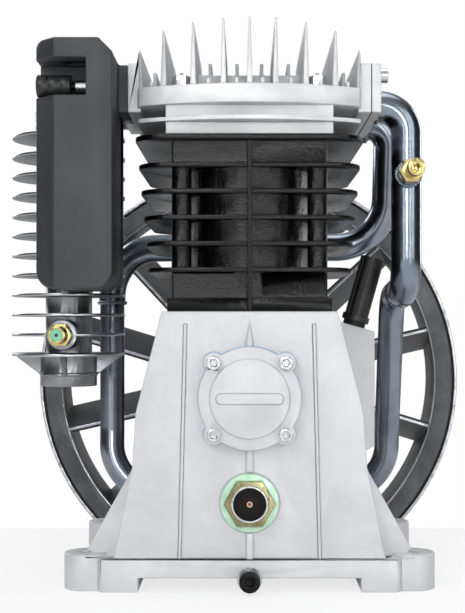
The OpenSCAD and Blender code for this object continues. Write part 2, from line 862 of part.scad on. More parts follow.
module head_solid() {
    box([-band_half_w, -band_half_l, head_low_z], [band_half_w, band_half_l, head_flange_z + over]);
    head_outline(0, head_flange_z, head_deck_z);
    box([-deck_half, deck_front_y, head_deck_z - over],
        [deck_half, port_back_y, head_deck_z + deck_high]);
    box([-outer_fin_x, deck_front_y, head_deck_z - over],
        [outer_fin_x, port_back_y, head_deck_z + deck_side]);
    for (s = [-1, 1])
        box([s > 0 ? port_half_w - port_wall : -port_half_w, port_front_y, port_low_z],
            [s > 0 ? port_half_w : port_wall - port_half_w, port_back_y, port_high_z]);
    intersection() {
        union() {
            head_fins();
            small_fins();
        }
        union() {
            head_outline(fin_inset, head_deck_z - over, head_top_z + over);
            box([-port_half_w, port_front_y, head_deck_z - over],
                [port_half_w, port_back_y, head_top_z + over]);
        }
    }
}

module cylinder_head() {
    inner = port_half_w - low_room_half;
    color("gainsboro") difference() {
        head_solid();
        head_rooms();
        box([-port_half_w - over, intake_y - intake_half, head_flange_z + intake_wall],
            [over - low_room_half, intake_y + intake_half, head_deck_z - intake_wall]);
        translate([-port_half_w - over, delivery_y, delivery_z])
            bar_x(port_bore_r, port_half_w - high_room_half_x + 2 * over);
        translate([low_room_half - over, front_port_y, front_port_z]) bar_x(port_bore_r, inner + 2 * over);
        translate([high_room_half_x - over, upper_port_y - high_port_r, upper_port_z])
            bar_x(port_bore_r, port_half_w - high_room_half_x + 2 * over);
        at_studs() translate([0, 0, head_low_z - over])
            cylinder(r = stud_hole_r, h = head_top_z - head_low_z);
        at_studs() translate([0, 0, head_deck_z])
            cylinder(r = nut_r + side_gap, h = head_top_z - head_deck_z);
        at_port_bolts() translate([-port_bolt_grip, 0, 0]) bar_x(port_bolt_r, port_bolt_grip + over);
        at_cooler_bolts() translate([-over, 0, 0]) bar_x(cooler_bolt_r, port_bolt_grip + over);
    }
}

module head_studs() {
    foot_z = case_top_z - stud_depth + over;
    color("silver") at_studs() {
        translate([0, 0, foot_z]) cylinder(r = stud_r - run_gap, h = head_deck_z - foot_z);
        translate([0, 0, head_deck_z]) cylinder(r = nut_r, h = washer_t);
        translate([0, 0, head_deck_z + washer_t]) cylinder(r = nut_r, h = nut_t, $fn = 6);
    }
}

// Intake filter

filter_back_y = -21.7;
filter_front_y = filter_back_y - filter_d;
filter_left_x = filter_right_x + filter_w;
filter_split_y = filter_back_y - filter_d / 4;
filter_bevel = 15;
filter_low_r = 14;
filter_top_r = 6;
filter_chamfer = 10;
neck_front_y = -60.5;
neck_back_y = filter_back_y - over;
mouth_low_z = 361;
mouth_high_z = 388;
mouth_x = 118;
mouth_depth = 35;
slot_w = 18;
filter_stud_z = 370;
filter_stud_r = 2.8;
filter_nut_r = 4.5;
filter_nut_len = 9;
element_w = 30;

// Plan of the housing, drawn in by t, with its left front corner cut away
function filter_plan(t) = [[t - filter_left_x, filter_back_y - t], [-filter_right_x - t, filter_back_y - t],
    [-filter_right_x - t, filter_front_y + t], [t / 2 - filter_left_x + filter_bevel, filter_front_y + t],
    [t - filter_left_x, filter_front_y + filter_bevel + t / 2]];

// Face of the housing, drawn in by t, with a round bottom and a cut top right corner
function filter_face(t) = concat(
    arc(filter_low_r - filter_left_x, filter_low_z + filter_low_r, filter_low_r - t, 180, 270),
    arc(-filter_low_r - filter_right_x, filter_low_z + filter_low_r, filter_low_r - t, 270, 360),
    [[-filter_right_x - t, filter_high_z - filter_chamfer - t / 2],
    [-filter_right_x - filter_chamfer - t / 2, filter_high_z - t]],
    arc(filter_top_r - filter_left_x, filter_high_z - filter_top_r, filter_top_r - t, 90, 180));

module filter_block(t) {
    intersection() {
        translate([0, 0, filter_low_z]) linear_extrude(height = filter_high_z - filter_low_z)
            polygon(filter_plan(t));
        profile_y(filter_face(t), filter_front_y, filter_back_y);
    }
}

// Box of the intake mouth, grown by t
module filter_mouth(t) {
    box([-filter_left_x - over, filter_front_y - over, mouth_low_z - t],
        [t - mouth_x, filter_front_y + mouth_depth + t, mouth_high_z + t]);
}

module filter_shell() {
    difference() {
        union() {
            filter_block(0);
            box([-filter_right_x - over, neck_front_y, port_low_z],
                [-port_half_w, neck_back_y, port_high_z - over]);
        }
        difference() {
            filter_block(filter_wall);
            filter_mouth(filter_wall);
        }
        filter_mouth(0);
        box([-mouth_x - slot_w, filter_front_y + mouth_depth - slot_w, mouth_high_z - over],
            [-mouth_x - filter_wall, filter_front_y + mouth_depth - filter_wall,
            mouth_high_z + filter_wall + over]);
        box([-filter_right_x - filter_wall - over, neck_front_y + filter_wall, port_low_z + filter_wall],
            [over - port_half_w, neck_back_y - filter_wall, port_high_z - over - filter_wall]);
        translate([-mouth_x - over, filter_front_y + slot_w, filter_stud_z])
            bar_x(filter_stud_r + run_gap, filter_wall + over);
    }
}

module filter_body() {
    color([0.16, 0.17, 0.18]) intersection() {
        filter_shell();
        box([-filter_left_x - over, filter_split_y, 0], [0, filter_back_y + over, head_top_z]);
    }
}

module filter_cover() {
    color([0.16, 0.17, 0.18]) intersection() {
        filter_shell();
        box([-filter_left_x - over, filter_front_y - over, 0], [0, filter_split_y, head_top_z]);
    }
}

module filter_element() {
    color("wheat") box([2 * filter_wall - filter_left_x, filter_back_y - filter_wall - element_w,
        filter_low_z + filter_low_r],
        [-filter_right_x - 2 * filter_wall, filter_back_y - filter_wall, mouth_low_z - 2 * filter_wall]);
}

module filter_stud() {
    color([0.1, 0.1, 0.1])
        translate([2 * filter_wall - filter_left_x, filter_front_y + slot_w, filter_stud_z])
        bar_x(filter_stud_r, filter_left_x - mouth_x - filter_wall);
}

module filter_nut() {
    color("silver") translate([-mouth_x - filter_nut_len, filter_front_y + slot_w, filter_stud_z])
        difference() {
            bar_x(filter_nut_r, filter_nut_len);
            translate([-over, 0, 0]) bar_x(filter_stud_r + run_gap, filter_nut_len + 2 * over);
        }
}

// Delivery cooler

cooler_y = delivery_y;
cooler_cap_r = 27.5;
cooler_cap_z = 377;
cooler_cap_h = 13;
cooler_boss_r = 23;
cooler_boss_z = 145.3;
cooler_step_z = 154;
cooler_step = 1;
cooler_bore_r = 8;
gusset_t = 3;
duct_r = 11;
duct_plate_t = 8;
duct_plate_half = 25;
relief_z = 187.5;
relief_boss_r = 12;
relief_boss_len = 21;
relief_hex_af = 17;
relief_r = 6.8;
relief_wall = 1.8;
relief_collar_t = 3;
relief_hex_t = 14;
relief_len = 30;
relief_disc_t = 1;
outlet_len = 18;
relief_face_y = cooler_y - cooler_body_r - relief_boss_len;

module cooler_solid() {
    translate([0, 0, cooler_boss_z]) cylinder(r = cooler_body_r, h = cooler_cap_z - cooler_boss_z - over);
    translate([0, 0, cooler_boss_z]) cylinder(r = cooler_boss_r, h = cooler_low_z - cooler_boss_z);
    translate([0, 0, cooler_step_z]) cylinder(r = cooler_boss_r + cooler_step, h = cooler_fin_t);
    for (i = [0 : cooler_fins - 1])
        translate([0, 0, cooler_low_z + i * cooler_pitch]) cylinder(r = cooler_fin_r, h = cooler_fin_t);
    for (a = [0 : 90 : 270]) rotate([0, 0, a])
        profile_y([[cooler_body_r, cooler_step_z], [cooler_boss_r, cooler_step_z],
            [cooler_fin_r - cooler_fin_t, cooler_low_z], [cooler_body_r, cooler_low_z + over]],
            -gusset_t / 2, gusset_t / 2);
    translate([0, 0, cooler_cap_z - 2 * cooler_cap_h])
        cylinder(r1 = cooler_body_r, r2 = cooler_cap_r, h = cooler_cap_h / 2);
    translate([0, 0, cooler_cap_z - 3 * cooler_cap_h / 2]) cylinder(r = cooler_cap_r, h = cooler_cap_h);
    translate([0, 0, cooler_cap_z - cooler_cap_h / 2])
        cylinder(r1 = cooler_cap_r, r2 = cooler_body_r, h = cooler_cap_h / 2);
}

module delivery_cooler() {
    color("darkgray") difference() {
        union() {
            translate([-cooler_x, cooler_y, 0]) cooler_solid();
            translate([-cooler_x, delivery_y, delivery_z]) bar_x(duct_r, cooler_x - port_half_w);
            box([-port_half_w - duct_plate_t, delivery_y - duct_plate_half, port_low_z + over],
                [-port_half_w, delivery_y + duct_plate_half, port_high_z - over]);
            translate([-cooler_x, relief_face_y, relief_z])
                bar_y(relief_boss_r, relief_boss_len + cooler_body_r);
        }
        translate([-cooler_x, cooler_y, cooler_boss_z - over]) cylinder(r = outlet_r, h = outlet_len + over);
        translate([-cooler_x, cooler_y, cooler_boss_z])
            cylinder(r = cooler_bore_r, h = delivery_z - cooler_boss_z);
        translate([-cooler_x, delivery_y, delivery_z]) bar_x(port_bore_r, cooler_x - port_half_w + over);
        translate([-cooler_x, relief_face_y - over, relief_z])
            bar_y(relief_r - relief_wall, relief_boss_len + cooler_body_r + over);
        translate([-cooler_x, cooler_y - cooler_fin_r - over, relief_z])
            bar_y(relief_boss_r, cooler_fin_r + over - cooler_body_r - relief_boss_len);
        at_cooler_bolts() translate([-duct_plate_t - over, 0, 0])
            bar_x(cooler_bolt_r + side_gap, duct_plate_t + 2 * over);
    }
}

module cooler_bolts() {
    color("silver") at_cooler_bolts() {
        translate([-duct_plate_t - screw_head_t, 0, 0]) hex_x(2 * screw_head_r, screw_head_t);
        translate([-duct_plate_t, 0, 0])
            bar_x(cooler_bolt_r - run_gap, duct_plate_t + port_bolt_grip - over);
    }
}

module relief_valve() {
    color("goldenrod") translate([-cooler_x, relief_face_y, relief_z]) {
        translate([0, -relief_collar_t, 0]) bar_y(relief_r + relief_wall, relief_collar_t);
        translate([0, -relief_hex_t, 0]) hex_y(relief_hex_af, relief_hex_t - relief_collar_t);
        difference() {
            translate([0, -relief_len, 0]) bar_y(relief_r, relief_len - relief_hex_t);
            translate([0, -relief_len - over, 0]) bar_y(relief_r - relief_wall, relief_wall + over);
        }
        bar_y(relief_r - relief_wall - run_gap, relief_boss_len / 2);
    }
}

module relief_valve_disc() {
    color("mediumseagreen") translate([-cooler_x, relief_face_y - relief_len + relief_wall - relief_disc_t,
        relief_z]) bar_y(relief_r - relief_wall - run_gap, relief_disc_t);
}

// Tube flange on the head's right port face

tube_flange_t = 7;
tube_face_x = port_half_w + thin_gasket + tube_flange_t;

module port_plate(x0, t) {
    difference() {
        box([x0, port_front_y, port_low_z], [x0 + t, port_back_y, port_high_z]);
        translate([x0 - over, front_port_y, front_port_z]) bar_x(port_bore_r, t + 2 * over);
        translate([x0 - over, upper_port_y, upper_port_z]) bar_x(port_bore_r, t + 2 * over);
        at_port_bolts() translate([-over, 0, 0])
            bar_x(port_bolt_r + side_gap, thin_gasket + tube_flange_t + 2 * over);
    }
}

module tube_flange_gasket() { color("dimgray") port_plate(port_half_w, thin_gasket); }

module tube_flange() { color("silver") port_plate(port_half_w + thin_gasket, tube_flange_t); }

module tube_flange_bolts() {
    color("silver") at_port_bolts() {
        translate([over - port_bolt_grip, 0, 0])
            bar_x(port_bolt_r - run_gap, port_bolt_grip - over + thin_gasket + tube_flange_t);
        translate([thin_gasket + tube_flange_t, 0, 0]) bar_x(port_head_r, port_head_t);
    }
}

// Intercooler tubes, swept along rounded routes

tube_sides = 16;
bend_steps = 6;
tube_seam = [0.31, 0.47, 0.83];

function unit(v) = v / norm(v);

// Points of the round bend of radius r at corner b of the route a, b, c
function bend(a, b, c, r) =
    let (u = unit(a - b), v = unit(c - b), w = acos(u * v), d = r / tan(w / 2),
        o = b + unit(u + v) * r / sin(w / 2), p = b + u * d - o, q = b + v * d - o, g = 180 - w)
    [for (i = [0 : bend_steps]) let (t = i / bend_steps)
        o + (sin((1 - t) * g) * p + sin(t * g) * q) / sin(g)];

// Route with each inner corner rounded by its own radius
function rounded(pts, radii) = concat([pts[0]],
    [for (i = [1 : len(pts) - 2]) each bend(pts[i - 1], pts[i], pts[i + 1], radii[i - 1])],
    [pts[len(pts) - 1]]);

function heading(pts, i) = i == 0 ? unit(pts[1] - pts[0])
    : i == len(pts) - 1 ? unit(pts[i] - pts[i - 1])
    : unit(unit(pts[i + 1] - pts[i]) + unit(pts[i] - pts[i - 1]));

// Side vectors carried along the route without twist
function carry(pts, i, s) = let (h = heading(pts, i), n = unit(s - h * (s * h)))
    i == len(pts) - 1 ? [n] : concat([n], carry(pts, i + 1, n));

module tube(pts, od, wall) {
    n = len(pts);
    m = tube_sides;
    side = carry(pts, 0, tube_seam);
    function ring(i, r) = let (t = cross(heading(pts, i), side[i]))
        [for (k = [0 : m - 1]) pts[i] + r * (cos(360 * k / m) * side[i] + sin(360 * k / m) * t)];
    points = concat([for (i = [0 : n - 1]) each ring(i, od / 2)],
        [for (i = [0 : n - 1]) each ring(i, od / 2 - wall)]);
    outside = [for (i = [0 : n - 2], k = [0 : m - 1]) let (a = i * m + k, b = i * m + (k + 1) % m)
        each [[a, a + m, b + m], [a, b + m, b]]];
    inside = [for (f = outside) [f[0] + n * m, f[2] + n * m, f[1] + n * m]];
    start = [for (k = [0 : m - 1]) let (a = k, b = (k + 1) % m)
        each [[a, b, b + n * m], [a, b + n * m, a + n * m]]];
    finish = [for (f = start) [for (j = [2, 1, 0]) f[j] + (n - 1) * m]];
    polyhedron(points = points, faces = concat(outside, inside, start, finish));
}

tube_x = 124;
joint_y = 20;
joint_z = 222;
slope_y = 75;
loop_y = 122;
loop_z = 46;
loop_knee_z = 100;
loop_knee_dy = 6;
left_y = 128.5;
left_joint_z = 215;
cross_y = 100;
cross_z = 264;
cross_left_x = 58;
rear_x = 120;

front_route = [[tube_face_x, front_port_y, front_port_z], [tube_x, front_port_y, front_port_z],
    [tube_x, front_port_y, joint_z], [tube_x, joint_y, joint_z]];
front_bend_shares = [0.9, 1.1];
lower_route = [[tube_x, joint_y, joint_z], [tube_x, slope_y, joint_z],
    [tube_x, loop_y - loop_knee_dy, loop_knee_z], [tube_x, loop_y, loop_z], [-tube_x, loop_y, loop_z],
    [-tube_x, left_y, loop_knee_z], [-tube_x, left_y, left_joint_z]];
lower_bend_shares = [1.3, 2, 1.9, 1.9, 2.7];
upper_route = [[-tube_x, left_y, left_joint_z], [-tube_x, left_y, cross_z],
    [-cross_left_x, cross_y, cross_z], [rear_x, cross_y, cross_z],
    [rear_x, upper_port_y, upper_port_z], [tube_face_x, upper_port_y, upper_port_z]];
upper_bend_shares = [1.8, 2.5, 1.8, 0.7];

safety_z = 313;
socket_r = 9;
socket_len = 24;
socket_bore_r = 4.5;
safety_len = 36;
safety_r = 6.5;
safety_neck_r = 5.5;
safety_hex_af = 17;
safety_hole_r = 2.2;
safety_hex_share = 0.35;

module front_tube() {
    color("lightslategray") difference() {
        union() {
            tube(rounded(front_route, tube_od * front_bend_shares), tube_od, tube_wall);
            difference() {
                translate([tube_x, front_port_y - socket_len, safety_z]) bar_y(socket_r, socket_len);
                translate([tube_x, front_port_y, safety_z - 2 * socket_r])
                    cylinder(r = tube_od / 2 - tube_wall, h = 4 * socket_r);
            }
        }
        translate([tube_x, front_port_y - socket_len - over, safety_z])
            bar_y(socket_bore_r, socket_len + over);
    }
}

module lower_loop() {
    color("lightslategray") tube(rounded(lower_route, loop_od * lower_bend_shares), loop_od, tube_wall);
}

module upper_tube() {
    color("lightslategray") tube(rounded(upper_route, tube_od * upper_bend_shares), tube_od, tube_wall);
}

module safety_valve() {
    hex_len = safety_hex_share * safety_len;
    color("goldenrod") translate([tube_x, front_port_y - socket_len, safety_z])
        difference() {
        union() {
            translate([0, -hex_len, 0]) hex_y(safety_hex_af, hex_len);
            translate([0, -safety_len + hex_len, 0]) bar_y(safety_neck_r, safety_len - hex_len);
            translate([0, -safety_len, 0]) bar_y(safety_r, hex_len);
            bar_y(socket_bore_r - run_gap, socket_len / 3);
        }
        translate([0, -safety_len - over, 0]) bar_y(safety_hole_r, safety_len / 3 + over);
    }
}

// Breather on the case's right shoulder

breather_plug_r = 7.5;
breather_plug_len = 9;
breather_r = 9.5;
breather_len = 48;
breather_foot_r = 11;
breather_foot_t = 5;
breather_seal_r = 9;
breather_seal_t = 4;
breather_ribs = 12;
breather_rib_t = 1.8;
breather_root_r = 8.6;

module breather() {
    foot_z = breather_seal_t + breather_foot_t;
    color([0.12, 0.13, 0.13]) at_breather() difference() {
        union() {
            translate([0, 0, over - breather_plug_len])
                cylinder(r = breather_plug_r - run_gap, h = breather_plug_len + breather_seal_t);
            translate([0, 0, breather_seal_t]) cylinder(r = breather_foot_r, h = breather_foot_t);
            translate([0, 0, foot_z]) cylinder(r = breather_root_r, h = breather_len);
            for (i = [0 : breather_ribs - 1]) rotate([0, 0, 360 * i / breather_ribs])
                box([0, -breather_rib_t / 2, foot_z],
                    [breather_r, breather_rib_t / 2, foot_z + breather_len]);
        }
        translate([0, 0, -breather_plug_len])
            cylinder(r = breather_duct_r, h = breather_plug_len + breather_len);
    }
}

module breather_seal() {
    color("black") at_breather() difference() {
        cylinder(r = breather_seal_r, h = breather_seal_t);
        translate([0, 0, -over]) cylinder(r = breather_plug_r, h = breather_seal_t + 2 * over);
    }
}

// Crankshaft in one piece, at rest with its low pressure throw up

low_end_w = 28;
high_end_w = 24;
end_web_t = 18;
mid_web_t = 12;
journal_r = 20;
front_shoulder_r = 16;
rear_shoulder_r = 18;
web_cut_share = 0.62;
bolt_bore_len = 22;
low_web_y = low_y - low_end_w / 2 - end_gap;
low_mid_y = low_y + low_end_w / 2 + end_gap;
high_mid_y = high_y - high_end_w / 2 - end_gap;
high_web_y = high_y + high_end_w / 2 + end_gap;
shaft_end_y = fly_y + rim_w - 2 * end_gap;

// One web: a disc whose half on the crankpin's side is cut narrower
module web(y0, t, side) {
    translate([0, y0, crank_z]) difference() {
        bar_y(web_r, t);
        for (s = [-1, 1])
            box([s > 0 ? web_r * web_cut_share : -web_r - over, -over, side > 0 ? 0 : -web_r - over],
                [s > 0 ? web_r + over : -web_r * web_cut_share, t + over, side > 0 ? web_r + over : 0]);
    }
}

// Round length of the shaft from y0 to y1 at height z
module journal(y0, y1, z, r) { translate([0, y0, z]) bar_y(r, y1 - y0); }

module crankshaft() {
    color("silver") difference() {
        union() {
            journal(front_bearing_y, low_web_y, crank_z, bearing_bore_front / 2);
            journal(front_bearing_y + bearing_w_front, low_web_y, crank_z, front_shoulder_r);
            web(low_web_y - end_web_t, end_web_t, 1);
            journal(low_web_y, low_mid_y, low_crankpin_z, crankpin_r);
            web(low_mid_y, mid_web_t, 1);
            journal(low_mid_y, high_mid_y, crank_z, journal_r);
            web(high_mid_y - mid_web_t, mid_web_t, -1);
            journal(high_mid_y, high_web_y, high_crankpin_z, crankpin_r);
            web(high_web_y, end_web_t, -1);
            journal(high_web_y, rear_bearing_y, crank_z, rear_shoulder_r);
            journal(high_web_y, rear_bearing_y + bearing_w_rear, crank_z, bearing_bore_rear / 2);
            journal(high_web_y, shaft_end_y, crank_z, shaft_r);
        }
        translate([-key_w / 2, key_y, crank_z + shaft_r - key_h / 2]) cube([key_w, key_len, key_h]);
        translate([0, shaft_end_y - bolt_bore_len, crank_z]) bar_y(fly_bolt_r, bolt_bore_len + over);
    }
}

// Flywheel with fan blades

fly_r = flywheel_od / 2;
rim_in_r = fly_r - rim_t;
fly_hub_r = 34;
hub_ahead = 52;
fly_hub_y = fly_y - hub_ahead;
line_w = 2;
line_depth = 1.5;
rim_lip = 3;
groove_w = 15;
groove_bottom_w = 9;
groove_depth = 11;
groove_shares = [0.3, 0.7];
blade_phase_share = 0.43;
blade_root = 6;
blade_inset = 1;
key_w = 8;
key_h = 7;
key_len = 50;
key_y = fly_y;
fly_bolt_r = 6;
fly_washer_t = 4;
fly_washer_r = 24;
fly_bolt_af = 19;
fly_bolt_head_t = 8;
fly_bolt_grip = 18;

module belt_groove(y) {
    flare = groove_w / 2 + over * (groove_w - groove_bottom_w) / 2 / groove_depth;
    translate([0, y, 0]) rotate([-90, 0, 0]) rotate_extrude()
        polygon([[fly_r - groove_depth, -groove_bottom_w / 2], [fly_r + over, -flare],
            [fly_r + over, flare], [fly_r - groove_depth, groove_bottom_w / 2]]);
}

// Pitched plate from the hub to the rim, a little narrower than the rim
module blade() {
    half = (rim_w / 2 - blade_inset) / cos(blade_pitch) - blade_t / 2 * tan(blade_pitch);
    translate([fly_hub_r - blade_root, rim_w / 2, 0]) rotate([-blade_pitch, 0, 0])
        box([0, -half, -blade_t / 2], [rim_in_r - fly_hub_r + 2 * blade_root, half, blade_t / 2]);
}

module flywheel() {
    hub_len = rim_w + hub_ahead;
    color([0.28, 0.28, 0.3]) translate([0, fly_y, crank_z]) difference() {
        union() {
            difference() {
                ring_y(fly_r, rim_in_r, rim_w);
                translate([0, -over, 0])
                    ring_y(fly_r - rim_lip, fly_r - rim_lip - line_w, line_depth + over);
                for (share = groove_shares) belt_groove(share * rim_w);
            }
            translate([0, -hub_ahead, 0]) bar_y(fly_hub_r, hub_len);
            for (i = [0 : blades - 1]) rotate([0, -360 * (i + blade_phase_share) / blades, 0]) blade();
        }
        translate([0, -hub_ahead - over, 0]) bar_y(shaft_r + run_gap / 5, hub_len + 2 * over);
        translate([-key_w / 2, -hub_ahead - over, 0])
            cube([key_w, hub_len + 2 * over, shaft_r + key_h / 2]);
    }
}

module flywheel_key() {
    color("silver") translate([-key_w / 2, key_y, crank_z + shaft_r - key_h / 2])
        cube([key_w, key_len, key_h]);
}

module flywheel_washer() {
    color("silver") translate([0, fly_y + rim_w, crank_z])
        ring_y(fly_washer_r, fly_bolt_r + side_gap, fly_washer_t);
}

module flywheel_bolt() {
    color("silver") translate([0, fly_y + rim_w + fly_washer_t, crank_z]) {
        hex_y(fly_bolt_af, fly_bolt_head_t);
        translate([0, -fly_bolt_grip, 0]) bar_y(fly_bolt_r - run_gap, fly_bolt_grip);
    }
}

// Pistons

piston_crown_t = 6;
low_skirt_t = 4;
high_skirt_t = 3.5;
low_boss_r = 12;
high_boss_r = 8;
ring_t = 2;
ring_depth = 2.2;
ring_first = 5;
ring_step = 6;
ring_count = 3;
piston_h = pin_drop + skirt_drop;
low_pin_half = 24.6;
high_pin_half = 11.9;

// Piston whose pin axis lies at height z; its bosses start beside the rod's pin
module piston(y, z, r, skirt, pin_r, boss_r, boss_from) {
    translate([0, y, z]) difference() {
        translate([0, 0, -skirt_drop]) cylinder(r = r - run_gap, h = piston_h);
        difference() {
            translate([0, 0, -skirt_drop - over])
                cylinder(r = r - skirt, h = piston_h - piston_crown_t + over);
            for (s = [-1, 1]) {
                translate([0, s > 0 ? boss_from : -r, 0]) bar_y(boss_r, r - boss_from);
                box([-boss_r, s > 0 ? boss_from : -r, 0], [boss_r, s > 0 ? r : -boss_from, pin_drop]);
            }
        }
        translate([0, -r, 0]) bar_y(pin_r, 2 * r);
        for (i = [0 : ring_count - 1])
            translate([0, 0, pin_drop - ring_first - i * ring_step]) difference() {
                cylinder(r = r + over, h = ring_t);
                translate([0, 0, -over]) cylinder(r = r - ring_depth, h = ring_t + 2 * over);
            }
    }
}

module piston_rings(y, z, r) {
    for (i = [0 : ring_count - 1])
        translate([0, y, z + pin_drop - ring_first - i * ring_step]) difference() {
            cylinder(r = r - run_gap / 2, h = ring_t);
            translate([0, 0, -over]) cylinder(r = r - ring_depth, h = ring_t + 2 * over);
        }
}

module low_stage_piston() {
    color("lightgray") piston(low_y, low_pin_z, low_bore / 2, low_skirt_t, low_pin_r, low_boss_r,
        low_pin_half + end_gap);
}

module low_stage_rings() { color("dimgray") piston_rings(low_y, low_pin_z, low_bore / 2); }

module high_stage_piston() {
    color("lightgray") piston(high_y, high_pin_z, high_bore / 2, high_skirt_t, high_pin_r, high_boss_r,
        high_pin_half + end_gap);
}

module high_stage_rings() { color("dimgray") piston_rings(high_y, high_pin_z, high_bore / 2); }

// Connecting rods, upright at rest

big_eye_r = 16;
low_eye_r = 11;
high_eye_r = 8.5;
low_eye_w = 26;
high_eye_w = 20;
low_shank_half = 8;
high_shank_half = 6;
shank_t = 9;
shank_foot_share = 1.3;
rod_bolt_x = 16.5;
rod_bolt_r = 2.2;
rod_lug_half = 4.5;
rod_lug_h = 9;
rod_bolt_head_t = 4;
rod_bolt_head_r = 3.2;
dipper_len = 22;
dipper_r = 3.5;

module rod_lugs(z0, z1) {
    for (s = [-1, 1])
        box([s * rod_bolt_x - rod_lug_half, -rod_lug_half, z0],
            [s * rod_bolt_x + rod_lug_half, rod_lug_half, z1]);
}

// Upper part of a rod, from its crankpin at the origin up to its piston eye
module rod(end_w, eye_w, eye_r, pin_r, shank) {
    difference() {
        union() {
            translate([0, -end_w / 2, 0]) bar_y(big_eye_r, end_w);
            translate([0, -eye_w / 2, rod_len]) bar_y(eye_r, eye_w);
            profile_y([[-shank_foot_share * shank, 0], [shank_foot_share * shank, 0], [shank, rod_len],
                [-shank, rod_len]], -shank_t / 2, shank_t / 2);
            rod_lugs(0, rod_lug_h);
        }
        translate([0, -end_w, 0]) bar_y(crankpin_r + run_gap, 2 * end_w);
        translate([0, -eye_w, rod_len]) bar_y(pin_r + run_gap / 5, 2 * eye_w);
        for (s = [-1, 1]) translate([s * rod_bolt_x, 0, -over]) cylinder(r = rod_bolt_r, h = rod_lug_h);
        box([-2 * big_eye_r, -end_w, -2 * big_eye_r], [2 * big_eye_r, end_w, 0]);
    }
}

// Cap under the crankpin, with the dipper that throws the oil
module rod_cap(end_w) {
    difference() {
        union() {
            translate([0, -end_w / 2, 0]) bar_y(big_eye_r, end_w);
            rod_lugs(-rod_lug_h, 0);
            translate([0, 0, -big_eye_r - dipper_len]) cylinder(r = dipper_r, h = dipper_len + dipper_r);
        }
        translate([0, -end_w, 0]) bar_y(crankpin_r + run_gap, 2 * end_w);
        for (s = [-1, 1]) translate([s * rod_bolt_x, 0, -rod_lug_h - over])
            cylinder(r = rod_bolt_r + run_gap, h = rod_lug_h + 2 * over);
        box([-2 * big_eye_r, -end_w, 0], [2 * big_eye_r, end_w, 2 * big_eye_r]);
    }
}

module rod_bolts() {
    for (s = [-1, 1]) translate([s * rod_bolt_x, 0, -rod_lug_h]) {
        translate([0, 0, -rod_bolt_head_t]) cylinder(r = rod_bolt_head_r, h = rod_bolt_head_t, $fn = 6);
        cylinder(r = rod_bolt_r - run_gap, h = 2 * rod_lug_h - 2 * over);
    }
}

module at_low_rod() { translate([0, low_y, low_crankpin_z]) children(); }

module at_high_rod() { translate([0, high_y, high_crankpin_z]) children(); }

module low_stage_rod() {
    color("lightgray") at_low_rod() rod(low_end_w, low_eye_w, low_eye_r, low_pin_r, low_shank_half);
}

module low_stage_rod_cap() { color("lightgray") at_low_rod() rod_cap(low_end_w); }

module low_stage_rod_bolts() { color("dimgray") at_low_rod() rod_bolts(); }

module low_stage_gudgeon_pin() {
    color("silver") at_low_rod() translate([0, -low_pin_half, rod_len])
        bar_y(low_pin_r, 2 * low_pin_half);
}

module high_stage_rod() {
    color("lightgray") at_high_rod() rod(high_end_w, high_eye_w, high_eye_r, high_pin_r, high_shank_half);
}

module high_stage_rod_cap() { color("lightgray") at_high_rod() rod_cap(high_end_w); }

module high_stage_rod_bolts() { color("dimgray") at_high_rod() rod_bolts(); }

module high_stage_gudgeon_pin() {
    color("silver") at_high_rod() translate([0, -high_pin_half, rod_len])
        bar_y(high_pin_r, 2 * high_pin_half);
}

crankcase();
cover_gasket();
bearing_cover();
cover_screws();
front_bearing_outer();
rear_carrier();
rear_carrier_gasket();
rear_carrier_screws();
rear_bearing_outer();
shaft_seal();
sight_flange();
sight_nut();
sight_window();
drain_washer();
drain_plug();
block_gasket();
cylinder_block();
head_gasket();
valve_spacer();
valve_plate();
valve_reeds();
cylinder_head();
head_studs();
filter_body();
filter_cover();
filter_element();
filter_stud();
filter_nut();
delivery_cooler();
cooler_bolts();
relief_valve();
relief_valve_disc();
tube_flange_gasket();
tube_flange();
tube_flange_bolts();
front_tube();
upper_tube();
lower_loop();
safety_valve();
breather();
breather_seal();
crankshaft();
front_bearing_inner();
rear_bearing_inner();
flywheel();
flywheel_key();
flywheel_washer();
flywheel_bolt();
low_stage_piston();
low_stage_rings();
low_stage_rod();
low_stage_rod_cap();
low_stage_rod_bolts();
low_stage_gudgeon_pin();
high_stage_piston();
high_stage_rings();
high_stage_rod();
high_stage_rod_cap();
high_stage_rod_bolts();
high_stage_gudgeon_pin();
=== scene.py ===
import json
import math

